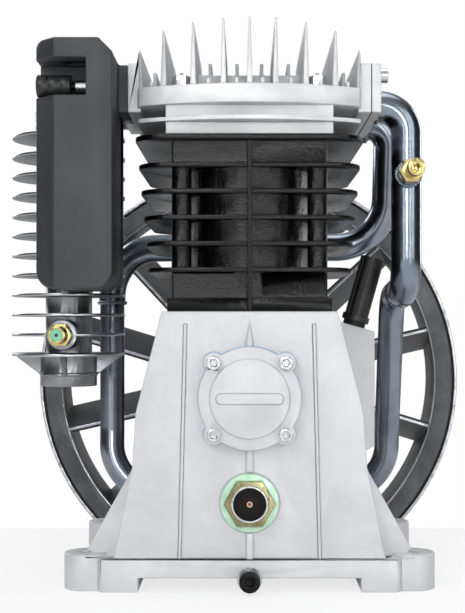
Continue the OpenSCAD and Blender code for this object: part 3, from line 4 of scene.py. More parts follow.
import bmesh
import bpy
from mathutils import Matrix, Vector

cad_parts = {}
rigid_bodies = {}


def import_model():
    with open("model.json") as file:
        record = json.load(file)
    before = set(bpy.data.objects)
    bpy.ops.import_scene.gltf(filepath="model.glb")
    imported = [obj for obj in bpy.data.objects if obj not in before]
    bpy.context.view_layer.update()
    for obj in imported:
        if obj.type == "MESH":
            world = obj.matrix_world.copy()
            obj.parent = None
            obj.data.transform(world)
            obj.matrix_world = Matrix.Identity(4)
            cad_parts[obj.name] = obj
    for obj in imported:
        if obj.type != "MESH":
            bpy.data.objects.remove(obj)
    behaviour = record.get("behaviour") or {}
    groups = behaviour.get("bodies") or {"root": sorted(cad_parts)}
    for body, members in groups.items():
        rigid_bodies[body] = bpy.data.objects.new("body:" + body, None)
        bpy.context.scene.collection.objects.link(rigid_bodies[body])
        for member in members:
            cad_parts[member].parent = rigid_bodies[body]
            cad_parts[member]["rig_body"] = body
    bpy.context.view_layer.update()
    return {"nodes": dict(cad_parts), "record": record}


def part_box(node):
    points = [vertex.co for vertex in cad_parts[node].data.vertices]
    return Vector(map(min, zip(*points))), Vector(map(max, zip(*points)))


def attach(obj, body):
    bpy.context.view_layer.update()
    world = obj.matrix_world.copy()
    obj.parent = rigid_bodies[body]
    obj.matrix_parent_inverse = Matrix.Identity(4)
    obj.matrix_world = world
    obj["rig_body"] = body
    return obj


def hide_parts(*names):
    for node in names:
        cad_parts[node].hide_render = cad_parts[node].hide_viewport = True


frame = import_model()

MM = 0.001
nodes = frame["nodes"]
body_of_node = {n: o["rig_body"] for n, o in nodes.items()}

# Places that the looks share with the solids, in millimetres
CRANK_Z = 142
FRONT_Y = -92.5
FLY_Y = 207.5
FLY_R = 203
RIM_IN_R = 181
HUB_R = 34
COOLER = (-149, 27.5)
SIGHT_Z = 65.8

# Where most, and the core, of a noise's values lie
MOST = (0.3, 0.7)
CORE = (0.35, 0.65)

BEVEL_SAMPLES = 4
MARK_SOFT_MM = 0.2


def mm(*values):
    """A point or size in millimetres, as metres."""
    return Vector([v * MM for v in values])


def tint(code):
    """A colour written as on screen, as the linear one a shader takes."""
    parts = [int(code[i:i + 2], 16) / 255 for i in (0, 2, 4)]
    return [c / 12.92 if c <= 0.04045 else ((c + 0.055) / 1.055) ** 2.4 for c in parts] + [1]


# Finishes

class Finish:
    """A node material on Object coordinates, built up a layer at a time."""

    def __init__(self, name, rough=0.5, metal=0.0, **sockets):
        self.mat = bpy.data.materials.new(name)
        self.mat.use_nodes = True
        self.tree = self.mat.node_tree
        self.tree.nodes.clear()
        self.shader = self.add("ShaderNodeBsdfPrincipled")
        self.end = self.add("ShaderNodeOutputMaterial")
        self.tree.links.new(self.shader.outputs["BSDF"], self.end.inputs["Surface"])
        self.where = self.add("ShaderNodeTexCoord").outputs["Object"]
        self.normal = None
        self.shader.inputs["Roughness"].default_value = rough
        self.shader.inputs["Metallic"].default_value = metal
        for socket, value in sockets.items():
            self.shader.inputs[socket.replace("_", " ")].default_value = value

    def add(self, kind, **values):
        node = self.tree.nodes.new(kind)
        for key, value in values.items():
            setattr(node, key, value)
        return node

    def put(self, socket, value):
        if isinstance(value, bpy.types.NodeSocket):
            self.tree.links.new(value, socket)
        else:
            socket.default_value = value

    def math(self, kind, a, b=0.0, clamp=False):
        node = self.add("ShaderNodeMath", operation=kind, use_clamp=clamp)
        self.put(node.inputs[0], a)
        self.put(node.inputs[1], b)
        return node.outputs[0]

    def stretch(self, scale):
        node = self.add("ShaderNodeMapping")
        self.put(node.inputs["Vector"], self.where)
        node.inputs["Scale"].default_value = scale
        return node.outputs["Vector"]

    def noise(self, grain_mm, detail=3.0, rough=0.5, along=None, twist=0.0):
        node = self.add("ShaderNodeTexNoise")
        self.put(node.inputs["Vector"], along or self.where)
        node.inputs["Scale"].default_value = 1 / (grain_mm * MM)
        node.inputs["Detail"].default_value = detail
        node.inputs["Roughness"].default_value = rough
        node.inputs["Distortion"].default_value = twist
        return node.outputs["Fac"]

    def cells(self, grain_mm, feature="F1"):
        node = self.add("ShaderNodeTexVoronoi", feature=feature)
        self.put(node.inputs["Vector"], self.where)
        node.inputs["Scale"].default_value = 1 / (grain_mm * MM)
        return node.outputs["Distance"]

    def span(self, value, low, high, to_low=0.0, to_high=1.0):
        node = self.add("ShaderNodeMapRange")
        for socket, v in zip(node.inputs, (value, low, high, to_low, to_high)):
            self.put(socket, v)
        return node.outputs["Result"]

    def mix(self, share, a, b, kind="MIX"):
        node = self.add("ShaderNodeMix", data_type="RGBA", blend_type=kind)
        self.put(node.inputs[0], share)
        self.put(node.inputs[6], a)
        self.put(node.inputs[7], b)
        return node.outputs[2]

    def axis(self, letter):
        node = self.add("ShaderNodeSeparateXYZ")
        self.put(node.inputs[0], self.where)
        return node.outputs[letter]

    def radius(self, centre, flat):
        """Distance from a line through centre along the flat axis."""
        shift = self.add("ShaderNodeVectorMath", operation="SUBTRACT")
        self.put(shift.inputs[0], self.where)
        shift.inputs[1].default_value = mm(*centre)
        crush = self.add("ShaderNodeVectorMath", operation="MULTIPLY")
        self.put(crush.inputs[0], shift.outputs[0])
        crush.inputs[1].default_value = [0 if a == flat else 1 for a in "XYZ"]
        size = self.add("ShaderNodeVectorMath", operation="LENGTH")
        self.put(size.inputs[0], crush.outputs[0])
        return size.outputs["Value"]

    def band(self, value, low_mm, high_mm, soft_mm=0.15):
        """1 between two sizes in millimetres, 0 outside."""
        rise = self.span(value, (low_mm - soft_mm) * MM, low_mm * MM)
        fall = self.span(value, high_mm * MM, (high_mm + soft_mm) * MM, 1, 0)
        return self.math("MULTIPLY", rise, fall)

    def within(self, value, radius_mm):
        """1 inside a radius, with a narrow soft rim, 0 outside."""
        return self.span(value, (radius_mm - MARK_SOFT_MM) * MM, radius_mm * MM, 1, 0)

    def round_edges(self, radius_mm):
        node = self.add("ShaderNodeBevel", samples=BEVEL_SAMPLES)
        node.inputs["Radius"].default_value = radius_mm * MM
        self.normal = node.outputs[0]

    def edge(self, radius_mm, low=0.02, high=0.25):
        """1 along sharp edges."""
        bevel = self.add("ShaderNodeBevel", samples=BEVEL_SAMPLES)
        bevel.inputs["Radius"].default_value = radius_mm * MM
        plain = self.add("ShaderNodeNewGeometry")
        dot = self.add("ShaderNodeVectorMath", operation="DOT_PRODUCT")
        self.put(dot.inputs[0], bevel.outputs[0])
        self.put(dot.inputs[1], plain.outputs["Normal"])
        return self.span(self.math("SUBTRACT", 1.0, dot.outputs["Value"]), low, high)

    def bump(self, height, strength, depth_mm):
        node = self.add("ShaderNodeBump")
        node.inputs["Strength"].default_value = strength
        node.inputs["Distance"].default_value = depth_mm * MM
        self.put(node.inputs["Height"], height)
        if self.normal:
            self.put(node.inputs["Normal"], self.normal)
        self.normal = node.outputs[0]

    def done(self, colour=None, rough=None, metal=None):
        for name, value in (("Base Color", colour), ("Roughness", rough), ("Metallic", metal)):
            if value is not None:
                self.put(self.shader.inputs[name], value)
        if self.normal:
            self.put(self.shader.inputs["Normal"], self.normal)
        return self.mat


CAST_CLOUD_MM = 34


def cast_skin(name, dark, light, rough, metal, grain_mm, depth_mm, strength, corner_mm=0.8, edge_highlight=None,
              rough_spread=0.08):
    """Sand cast or blasted surface: cloudy tone, fine grain, and a patchy painted highlight along the edges.
    """
    f = Finish(name, metal=metal)
    cloud = f.noise(CAST_CLOUD_MM, 4, 0.6)
    speck = f.noise(grain_mm, 3, 0.7)
    tone = f.mix(f.span(cloud, *CORE), tint(dark), tint(light))
    tone = f.mix(f.span(speck, 0.35, 0.7, 0, 0.28), tone, tint(dark))
    if edge_highlight:
        # Painted highlight: the edges are lightened in patches towards the highlight colour.
        patchy_edge_highlight = f.math("MULTIPLY", f.edge(1.2 * corner_mm), f.span(f.noise(6), 0.4, 0.6))
        tone = f.mix(f.math("MULTIPLY", patchy_edge_highlight, 0.7), tone, tint(edge_highlight))
    f.round_edges(corner_mm)
    f.bump(f.noise(grain_mm, 4, 0.65), strength, depth_mm)
    f.bump(f.noise(grain_mm * 9, 2), strength * 0.6, depth_mm * 2.5)
    return f.done(tone, f.span(speck, *MOST, rough - rough_spread, rough + rough_spread))


def turned_metal(name, colour, rough, streak_mm=0.35, axis="Y", corner_mm=0.3, strength=0.12, dark=None):
    """Machined or plated metal with fine tool lines across one axis."""
    f = Finish(name, metal=1.0)
    squeeze = [0.04 if a != axis else 1.0 for a in "XYZ"]
    line = f.noise(streak_mm, 2, 0.6, along=f.stretch(squeeze))
    stain = f.noise(9, 4, 0.6)
    tone = f.mix(f.span(stain, 0.45, 0.75, 0, 0.5), tint(colour), tint(dark or colour))
    f.round_edges(corner_mm)
    f.bump(line, strength, 0.05)
    return f.done(tone, f.span(f.noise(4), *MOST, rough * 0.75, rough * 1.3))


def moulded(name, colour, light, rough, grain_mm=0.7, strength=0.35, depth_mm=0.12, corner_mm=0.8):
    """Moulded plastic or rubber with a fine spark texture, paler in patches, and a painted highlight along
    the edges.
    """
    f = Finish(name)
    grain = f.noise(grain_mm, 2, 0.6)
    tone = f.mix(f.span(f.noise(40, 3), *MOST, 0, 0.35), tint(colour), tint(light))
    # Painted highlight: the edges are lightened towards the pale colour.
    tone = f.mix(f.math("MULTIPLY", f.edge(corner_mm), 0.35), tone, tint(light))
    f.round_edges(corner_mm)
    f.bump(grain, strength, depth_mm)
    return f.done(tone, f.span(grain, *MOST, rough - 0.07, rough + 0.07))


def block_black():
    """Black paint over coarse, lumpy iron."""
    f = Finish("block_black", Specular_IOR_Level=0.36)
    lump = f.noise(2.2, 4, 0.6)
    pit = f.cells(1.6)
    dust = f.math("MULTIPLY", f.span(f.noise(14, 4), 0.45, 0.75), 0.2)
    tone = f.mix(dust, tint("030303"), tint("121314"))
    # Painted highlight: the edges are lightened towards grey.
    tone = f.mix(f.math("MULTIPLY", f.edge(0.9), 0.4), tone, tint("2C2D2F"))
    f.round_edges(0.9)
    f.bump(lump, 0.6, 0.7)
    f.bump(pit, 0.35, 0.35)
    return f.done(tone, f.span(lump, *MOST, 0.14, 0.26))


# Widths of the wheel's machined lips, and how far its painted shade line lies inside the rim
OUTER_LIP = 2.9
INNER_LIP_IN, INNER_LIP_OUT = 0.6, 0.9
GROOVE_SHADE_FROM, GROOVE_SHADE_TO = 5, 3


def wheel_iron():
    """Grey textured wheel: machined rim edge and blade edges, painted shade on the blades, and a black
    painted shade line inside the rim.
    """
    f = Finish("wheel_iron", metal=0.35)
    r = f.radius((0, 0, CRANK_Z), "Y")
    y = f.axis("Y")

    def near_face(full_mm, none_mm):
        """1 up to a depth behind the rim's face, fading to 0."""
        return f.span(y, (FLY_Y + full_mm) * MM, (FLY_Y + none_mm) * MM, 1, 0)

    grain = f.noise(1.1, 4, 0.7)
    paint = f.mix(f.span(f.noise(30, 4), *CORE), tint("4B4D51"), tint("6A6C70"))
    paint = f.mix(f.span(grain, 0.4, 0.7, 0, 0.5), paint, tint("38393C"))
    in_spokes = f.band(r, HUB_R + 1, RIM_IN_R, 0.4)
    # Painted shade: the blades between hub and rim are darkened almost to black.
    paint = f.mix(f.math("MULTIPLY", in_spokes, 0.72), paint, tint("1D1E20"))
    blade_edge = f.math("MULTIPLY", in_spokes, near_face(1.7, 1.9))
    outer = f.band(r, FLY_R - OUTER_LIP, FLY_R + 1)
    inner = f.band(r, RIM_IN_R - INNER_LIP_IN, RIM_IN_R + INNER_LIP_OUT)
    rim_edge = f.math("MAXIMUM", outer, inner)
    edge_highlight = f.math("MAXIMUM", blade_edge, f.math("MULTIPLY", rim_edge, near_face(0, 4)))
    edge_highlight = f.math("MULTIPLY", edge_highlight, f.span(f.noise(5, 4), 0.3, 0.5, 0.45, 1))
    # Painted shade: a black line near the rim's face where the rim is shaded.
    groove_shade = f.math("MULTIPLY", f.band(r, FLY_R - GROOVE_SHADE_FROM, FLY_R - GROOVE_SHADE_TO), near_face(2, 3))
    tone = f.mix(edge_highlight, paint, tint("C9CCD1"))
    tone = f.mix(groove_shade, tone, tint("0B0B0B"))
    f.round_edges(0.6)
    f.bump(grain, 0.45, 0.3)
    f.bump(f.noise(8, 3), 0.3, 0.6)
    return f.done(tone, f.span(edge_highlight, 0, 1, 0.5, 0.3), f.span(edge_highlight, 0, 1, 0.3, 1))


def tube_steel():
    """Bluish plated tube with darker stains."""
    f = Finish("tube_steel", metal=1.0)
    stain = f.noise(22, 4, 0.55, twist=0.6)
    tone = f.mix(f.span(stain, 0.4, 0.68), tint("8D95A0"), tint("7B848F"))
    f.bump(f.noise(1.6, 3, 0.6), 0.05, 0.08)
    return f.done(tone, f.span(f.noise(9, 3), *MOST, 0.19, 0.25))


COOLER_RIM_R = 45.2
COOLER_RIM_SOFT = 0.7


def cooler_skin():
    """Cast column with machined fin rims."""
    f = Finish("cooler_aluminium", metal=1.0)
    r = f.radius((COOLER[0], COOLER[1], 0), "Z")
    rim = f.span(r, COOLER_RIM_R * MM, (COOLER_RIM_R + COOLER_RIM_SOFT) * MM)
    grain = f.noise(0.9, 3, 0.6)
    tone = f.mix(f.span(f.noise(26, 4), *CORE), tint("85888B"), tint("9EA1A4"))
    tone = f.mix(f.math("MULTIPLY", rim, 0.8), tone, tint("C9CBCE"))
    f.round_edges(0.7)
    f.bump(grain, 0.3, 0.15)
    return f.done(tone, f.span(rim, 0, 1, 0.34, 0.28))


SIGHT_MARK_R, SIGHT_RING_R, SIGHT_GLASS_R, SIGHT_RIM_R = 1.3, 2, 11, 13.5


def sight_face():
    """Dark glass with a small red mark in a pale ring."""
    f = Finish("sight_dark", rough=0.22, Specular_IOR_Level=0.18)
    r = f.radius((0, 0, SIGHT_Z), "Y")
    tone = f.mix(f.span(r, SIGHT_RING_R * MM, SIGHT_GLASS_R * MM), tint("1C130C"), tint("030303"))
    tone = f.mix(f.band(r, SIGHT_MARK_R, SIGHT_RING_R, MARK_SOFT_MM), tone, tint("D8D2C4"))
    tone = f.mix(f.within(r, SIGHT_MARK_R), tone, tint("B3261C"))
    f.bump(f.noise(5), 0.05, 0.05)
    return f.done(tone)


def sight_brass():
    """Olive plated hexagon with a bright turned rim."""
    f = Finish("sight_gold", metal=0.9)
    r = f.radius((0, 0, SIGHT_Z), "Y")
    tone = f.mix(f.span(f.noise(14, 3), *CORE), tint("7F7C58"), tint("A8A57F"))
    tone = f.mix(f.within(r, SIGHT_RIM_R), tone, tint("D9DADA"))
    f.round_edges(0.4)
    f.bump(f.noise(0.5, 2), 0.15, 0.06)
    return f.done(tone, f.span(f.noise(3), *MOST, 0.22, 0.36))


def sight_plate():
    """Pale green passivated plate."""
    f = Finish("sight_green", metal=0.25)
    tone = f.mix(f.span(f.noise(7, 4), *CORE), tint("AFDDBF"), tint("CDEBD6"))
    f.round_edges(0.4)
    f.bump(f.noise(0.8, 3), 0.2, 0.08)
    return f.done(tone, f.span(f.noise(4), *MOST, 0.3, 0.45))


RELIEF_Z = 187.5
RELIEF_HOLE_R = 1.5


def relief_mark():
    """Green disc with painted shade for a hole at its centre."""
    f = Finish("disc_green", rough=0.4)
    r = f.radius((COOLER[0], 0, RELIEF_Z), "Y")
    # Painted shade: a dark spot stands for the shade inside the hole.
    tone = f.mix(f.within(r, RELIEF_HOLE_R), tint("7CC4A4"), tint("101210"))
    f.bump(f.noise(1.2), 0.15, 0.06)
    return f.done(tone)


PLEAT_SCALE = 90


def pleated_paper():
    """Paper with pleats across Y, with painted shade in the folds and painted light on the ridges."""
    f = Finish("filter_paper", rough=0.85)
    wave = f.add("ShaderNodeTexWave", bands_direction="Y")
    f.put(wave.inputs["Vector"], f.where)
    wave.inputs["Scale"].default_value = PLEAT_SCALE
    # Painted shade and light: the colour follows the pleat wave, dark in the folds and pale on the ridges.
    tone = f.mix(wave.outputs["Fac"], tint("BFB391"), tint("E7DFC8"))
    f.bump(wave.outputs["Fac"], 0.6, 1.2)
    return f.done(tone)


def sheet_gasket(name, colour, dark):
    """Fibrous gasket sheet."""
    f = Finish(name)
    fibre = f.noise(1.3, 4, 0.7)
    f.bump(fibre, 0.3, 0.1)
    tone = f.mix(f.span(fibre, *MOST), tint(colour), tint(dark))
    return f.done(tone, f.span(fibre, *MOST, 0.55, 0.75))


FINISHES = {
    "case_paint": cast_skin("case_paint", "C6C7C9", "D2D3D5", 0.46, 0.15, 0.9, 0.3, 0.6, 0.8, "DEDFE1"),
    "gasket_blue": sheet_gasket("gasket_blue", "8DB4D8", "6F9AC4"),
    "fastener_steel": turned_metal("fastener_steel", "CBCDD0", 0.24, dark="AEB0B3"),
    "bearing_steel": turned_metal("bearing_steel", "CFD1D4", 0.16),
    "seal_rubber": moulded("seal_rubber", "131313", "242424", 0.62, 1.0),
    "sight_green": sight_plate(),
    "sight_gold": sight_brass(),
    "sight_dark": sight_face(),
    "plug_black": turned_metal("plug_black", "2A2A2B", 0.38, dark="151515"),
    "gasket_grey": sheet_gasket("gasket_grey", "3F4143", "28292B"),
    "block_iron": block_black(),
    "head_aluminium": cast_skin("head_aluminium", "CBCCCE", "DDDEDF", 0.48, 0.4, 0.8, 0.2, 0.45, 1.0,
                                "F0F0F0"),
    "reed_steel": turned_metal("reed_steel", "B9BCC2", 0.2),
    "filter_plastic": moulded("filter_plastic", "2C2D31", "44454A", 0.5, 1.2, 0.7, 0.2),
    "filter_paper": pleated_paper(),
    "cooler_aluminium": cooler_skin(),
    "valve_brass": turned_metal("valve_brass", "CDB97C", 0.2, dark="94804A"),
    "disc_green": relief_mark(),
    "tube_steel": tube_steel(),
    "breather_plastic": moulded("breather_plastic", "161717", "2B2C2C", 0.4, 0.9),
    "crank_iron": cast_skin("crank_iron", "5B5C5E", "7A7B7D", 0.4, 0.8, 1.2, 0.25, 0.35),
    "flywheel_iron": wheel_iron(),
    "shaft_steel": turned_metal("shaft_steel", "B4B7BB", 0.24, dark="8A8C90"),
    "rod_aluminium": cast_skin("rod_aluminium", "A9ACAF", "C6C8CA", 0.36, 0.85, 0.9, 0.15, 0.3, 0.6),
    "ring_iron": turned_metal("ring_iron", "77797C", 0.3, axis="Z"),
}

slot_of_node = {part["node"]: part["material_slot"] for part in frame["record"]["subparts"]}

for name, node in nodes.items():
    node.data.materials.clear()
    node.data.materials.append(FINISHES[slot_of_node[name]])


# Pieces

def new_object(name, mesh):
    piece = bpy.data.objects.new(name, mesh)
    bpy.context.scene.collection.objects.link(piece)
    return piece


def plain_mesh(piece, name):
    """A finished piece with its modifiers worked into its mesh."""
    graph = bpy.context.evaluated_depsgraph_get()
    mesh = bpy.data.meshes.new_from_object(piece.evaluated_get(graph))
    made = new_object(name, mesh)
    bpy.data.objects.remove(piece)
    return made


def settle(piece, body, slot, *replaced):
    """Gives a piece its body, and hides the CAD nodes that it stands for; slot is not used."""
    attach(piece, body)
    if replaced:
        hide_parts(*replaced)
    return piece


SAME_POINT_MM = 0.004
FLAT_DEGREES = 0.6


def soften(node_name, width_mm, angle=38, segments=2, merge_flats=True):
    """A copy of a casting with its sharp edges rounded, standing for the solid."""
    work = bmesh.new()
    work.from_mesh(nodes[node_name].data)
    bmesh.ops.remove_doubles(work, verts=work.verts, dist=SAME_POINT_MM * MM)
    if merge_flats:
        bmesh.ops.dissolve_limit(work, angle_limit=math.radians(FLAT_DEGREES), verts=work.verts,
                                 edges=work.edges, delimit={"NORMAL"})
    mesh = bpy.data.meshes.new(node_name + "_work")
    work.to_mesh(mesh)
    work.free()
    mesh.materials.append(FINISHES[slot_of_node[node_name]])
    mesh.polygons.foreach_set("use_smooth", [True] * len(mesh.polygons))
    piece = new_object(node_name + "_work", mesh)
    bevel = piece.modifiers.new("edges", "BEVEL")
    bevel.width = width_mm * MM
    bevel.segments = segments
    bevel.limit_method = "ANGLE"
    bevel.angle_limit = math.radians(angle)
    bevel.use_clamp_overlap = False
    bevel.harden_normals = True
    made = plain_mesh(piece, node_name + "_finished")
    return settle(made, body_of_node[node_name], slot_of_node[node_name], node_name)


SOFTENED = {
    "crankcase": 0.9, "bearing_cover": 0.7, "rear_carrier": 0.9, "cylinder_block": 0.6,
    "cylinder_head": 0.6, "valve_spacer": 0.8, "filter_body": 0.9, "filter_cover": 0.9,
    "delivery_cooler": 0.45, "flywheel": 0.6, "tube_flange": 0.8, "sight_nut": 0.4,
    "sight_flange": 0.4, "safety_valve": 0.3, "relief_valve": 0.3, "drain_plug": 0.5,
}
for name, width in SOFTENED.items():
    soften(name, width, merge_flats=name != "cylinder_block")


# Node trees for what repeats or follows a path

EDGE_DEGREES = 35
WELD_STEPS = 96
BEAD_SMALLEST, BEAD_LARGEST = (0.85, 0.85, 0.85), (1.25, 1.15, 1.2)
HEAD_SIDES, SHANK_SIDES, SOCKET_SIDES = 40, 32, 6


def grow_tree(name, inputs):
    tree = bpy.data.node_groups.new(name, "GeometryNodeTree")
    tree.interface.new_socket(name="Geometry", in_out="INPUT", socket_type="NodeSocketGeometry")
    for label, kind in inputs.items():
        tree.interface.new_socket(name=label, in_out="INPUT", socket_type="NodeSocket" + kind)
    tree.interface.new_socket(name="Geometry", in_out="OUTPUT", socket_type="NodeSocketGeometry")
    return tree, tree.nodes.new("NodeGroupInput"), tree.nodes.new("NodeGroupOutput")


def step(tree, kind, links=None, **props):
    """Adds a node and joins its named inputs to sockets or values."""
    node = tree.nodes.new("GeometryNode" + kind)
    for key, value in props.items():
        setattr(node, key, value)
    for label, value in (links or {}).items():
        if isinstance(value, bpy.types.NodeSocket):
            tree.links.new(value, node.inputs[label])
        else:
            node.inputs[label].default_value = value
    return node


def grow(piece, tree, values, name, edge_mm=0):
    """Runs a tree on a piece and keeps the result as a plain mesh."""
    mod = piece.modifiers.new("grow", "NODES")
    mod.node_group = tree
    for item in tree.interface.items_tree:
        if item.in_out == "INPUT" and item.name in values:
            mod[item.identifier] = values[item.name]
    if edge_mm:
        bevel = piece.modifiers.new("edges", "BEVEL")
        bevel.width = edge_mm * MM
        bevel.segments = 2
        bevel.limit_method = "ANGLE"
        bevel.angle_limit = math.radians(EDGE_DEGREES)
    return plain_mesh(piece, name)


def joined(name, pieces):
    """Several meshes as one piece."""
    work = bmesh.new()
    materials = []
    for piece in pieces:
        at = len(work.faces)
        work.from_mesh(piece.data)
        work.faces.ensure_lookup_table()
        for mat in piece.data.materials:
            if mat not in materials:
                materials.append(mat)
        for face in work.faces[at:]:
            face.material_index = materials.index(piece.data.materials[face.material_index])
        bpy.data.objects.remove(piece)
    mesh = bpy.data.meshes.new(name)
    work.to_mesh(mesh)
    work.free()
    for mat in materials:
        mesh.materials.append(mat)
    return new_object(name, mesh)


def tube_tree():
    """A round tube along the piece's own curve."""
    tree, start, end = grow_tree("tube_run", {"Outer radius": "Float", "Sides": "Int", "Finish": "Material"})
    ring = step(tree, "CurvePrimitiveCircle", {"Radius": start.outputs["Outer radius"],
                                               "Resolution": start.outputs["Sides"]})
    skin = step(tree, "CurveToMesh", {"Curve": start.outputs["Geometry"],
                                      "Profile Curve": ring.outputs["Curve"], "Fill Caps": True})
    smooth = step(tree, "SetShadeSmooth", {"Geometry": skin.outputs["Mesh"]})
    paint = step(tree, "SetMaterial", {"Geometry": smooth.outputs["Geometry"],
                                       "Material": start.outputs["Finish"]})
    tree.links.new(paint.outputs["Geometry"], end.inputs["Geometry"])
    return tree


def weld_tree():
    """A ring of overlapping weld beads."""
    tree, start, end = grow_tree("weld_ring", {
        "Ring radius": "Float", "Beads": "Int", "Bead radius": "Float", "Turn": "Rotation", "Place": "Vector",
        "Seed": "Int", "Finish": "Material"})
    ring = step(tree, "CurvePrimitiveCircle", {"Radius": start.outputs["Ring radius"],
                                               "Resolution": WELD_STEPS})
    spots = step(tree, "CurveToPoints", {"Curve": ring.outputs["Curve"], "Count": start.outputs["Beads"]},
                 mode="COUNT")
    bead = step(tree, "MeshIcoSphere", {"Radius": start.outputs["Bead radius"], "Subdivisions": 3})
    size = tree.nodes.new("FunctionNodeRandomValue")
    size.data_type = "FLOAT_VECTOR"
    size.inputs[0].default_value = BEAD_SMALLEST
    size.inputs[1].default_value = BEAD_LARGEST
    tree.links.new(start.outputs["Seed"], size.inputs["Seed"])
    beads = step(tree, "InstanceOnPoints", {"Points": spots.outputs["Points"],
                                            "Instance": bead.outputs["Mesh"], "Scale": size.outputs[0]})
    placed = step(tree, "Transform", {"Geometry": beads.outputs["Instances"],
                                      "Rotation": start.outputs["Turn"],
                                      "Translation": start.outputs["Place"]})
    real = step(tree, "RealizeInstances", {"Geometry": placed.outputs["Geometry"]})
    smooth = step(tree, "SetShadeSmooth", {"Geometry": real.outputs["Geometry"]})
    paint = step(tree, "SetMaterial", {"Geometry": smooth.outputs["Geometry"],
                                       "Material": start.outputs["Finish"]})
    tree.links.new(paint.outputs["Geometry"], end.inputs["Geometry"])
    return tree


def screw_tree():
    """A socket screw on each point of the piece, its head along the turned Z axis."""
    tree, start, end = grow_tree("socket_screws", {
        "Head radius": "Float", "Head height": "Float", "Socket radius": "Float", "Socket depth": "Float",
        "Shank radius": "Float", "Shank length": "Float", "Turn": "Rotation", "Finish": "Material"})

    def half(socket, sign):
        node = tree.nodes.new("ShaderNodeMath")
        node.operation = "MULTIPLY"
        node.inputs[1].default_value = 0.5 * sign
        tree.links.new(socket, node.inputs[0])
        return node.outputs[0]

    def column(sides, radius, depth, z):
        body = step(tree, "MeshCylinder", {"Vertices": sides, "Radius": radius, "Depth": depth})
        spot = tree.nodes.new("ShaderNodeCombineXYZ")
        tree.links.new(z, spot.inputs[2])
        return step(tree, "Transform", {"Geometry": body.outputs["Mesh"],
                                        "Translation": spot.outputs[0]}).outputs["Geometry"]

    head_h = start.outputs["Head height"]
    head = column(HEAD_SIDES, start.outputs["Head radius"], head_h, half(head_h, 1))
    socket = column(SOCKET_SIDES, start.outputs["Socket radius"], start.outputs["Socket depth"], head_h)
    cut = step(tree, "MeshBoolean", {"Mesh 1": head, "Mesh 2": socket},
               operation="DIFFERENCE", solver="EXACT")
    shank = column(SHANK_SIDES, start.outputs["Shank radius"], start.outputs["Shank length"],
                   half(start.outputs["Shank length"], -1))
    both = step(tree, "JoinGeometry")
    for part in (cut.outputs["Mesh"], shank):
        tree.links.new(part, both.inputs["Geometry"])
    set_out = step(tree, "InstanceOnPoints", {"Points": start.outputs["Geometry"],
                                              "Instance": both.outputs["Geometry"],
                                              "Rotation": start.outputs["Turn"]})
    real = step(tree, "RealizeInstances", {"Geometry": set_out.outputs["Instances"]})
    paint = step(tree, "SetMaterial", {"Geometry": real.outputs["Geometry"],
                                       "Material": start.outputs["Finish"]})
    tree.links.new(paint.outputs["Geometry"], end.inputs["Geometry"])
    return tree


TUBE_RUN, WELD_RING, SOCKET_SCREWS = tube_tree(), weld_tree(), screw_tree()


# Tubes

def bent(points, radii, steps=20):
    """A route with its corners rounded."""
    line = [Vector(points[0])]
    for a, b, c, r in zip(points, points[1:], points[2:], radii):
        a, b, c = Vector(a), Vector(b), Vector(c)
        u, v = (a - b).normalized(), (c - b).normalized()
        wide = u.angle(v)
        reach = r / math.tan(wide / 2)
        middle = b + (u + v).normalized() * r / math.sin(wide / 2)
        p, q = b + u * reach - middle, b + v * reach - middle
        turn = math.pi - wide
        for t in range(steps + 1):
            from_p, from_q = math.sin((1 - t / steps) * turn), math.sin(t / steps * turn)
            line.append(middle + (from_p * p + from_q * q) / math.sin(turn))
    return line + [Vector(points[-1])]


TUBE_SIDES = 48


def tube_run(name, points, radii, outer_d):
    curve = bpy.data.curves.new(name, "CURVE")
    curve.dimensions = "3D"
    line = bent(points, radii)
    spline = curve.splines.new("POLY")
    spline.points.add(len(line) - 1)
    for spot, p in zip(spline.points, line):
        spot.co = (*(p * MM), 1)
    work = new_object(name + "_work", curve)
    return grow(work, TUBE_RUN, {"Outer radius": outer_d / 2 * MM, "Sides": TUBE_SIDES,
                                 "Finish": FINISHES["tube_steel"]}, name)


def weld(name, place, turn, ring_mm, beads, bead_mm, seed):
    work = new_object(name + "_work", bpy.data.meshes.new(name))
    return grow(work, WELD_RING, {
        "Ring radius": ring_mm * MM, "Beads": beads, "Bead radius": bead_mm * MM, "Turn": turn,
        "Place": mm(*place), "Seed": seed, "Finish": FINISHES["tube_steel"]}, name)


# Places in millimetres; a bend's radius is a share of its tube's diameter
FACE_X, TUBE_X, JOINT_Z, TUBE_D, LOOP_D = 99.5, 124, 222, 24, 22
FRONT_PORT = (-18.5, 368)
UPPER_PORT = (73, 367)
LEFT_JOINT = (-TUBE_X, 128.5, 215)
JOINT_Y, KNEE_Y = 20, 75
SHOULDER_Y, SHOULDER_Z = 116, 100
LOOP_Y, LOOP_Z = 122, 46
UPPER_X, UPPER_Y, UPPER_Z = 120, 100, 264
CROSSING_X = -58
FRONT_BEND_SHARES = (0.9, 1.1)
LOOP_BEND_SHARES = (1.3, 2, 1.9, 1.9, 2.7)
UPPER_BEND_SHARES = (1.8, 2.5, 1.8, 0.7)
QUARTER = math.pi / 2
ALONG_X, ALONG_Y = (0, QUARTER, 0), (QUARTER, 0, 0)

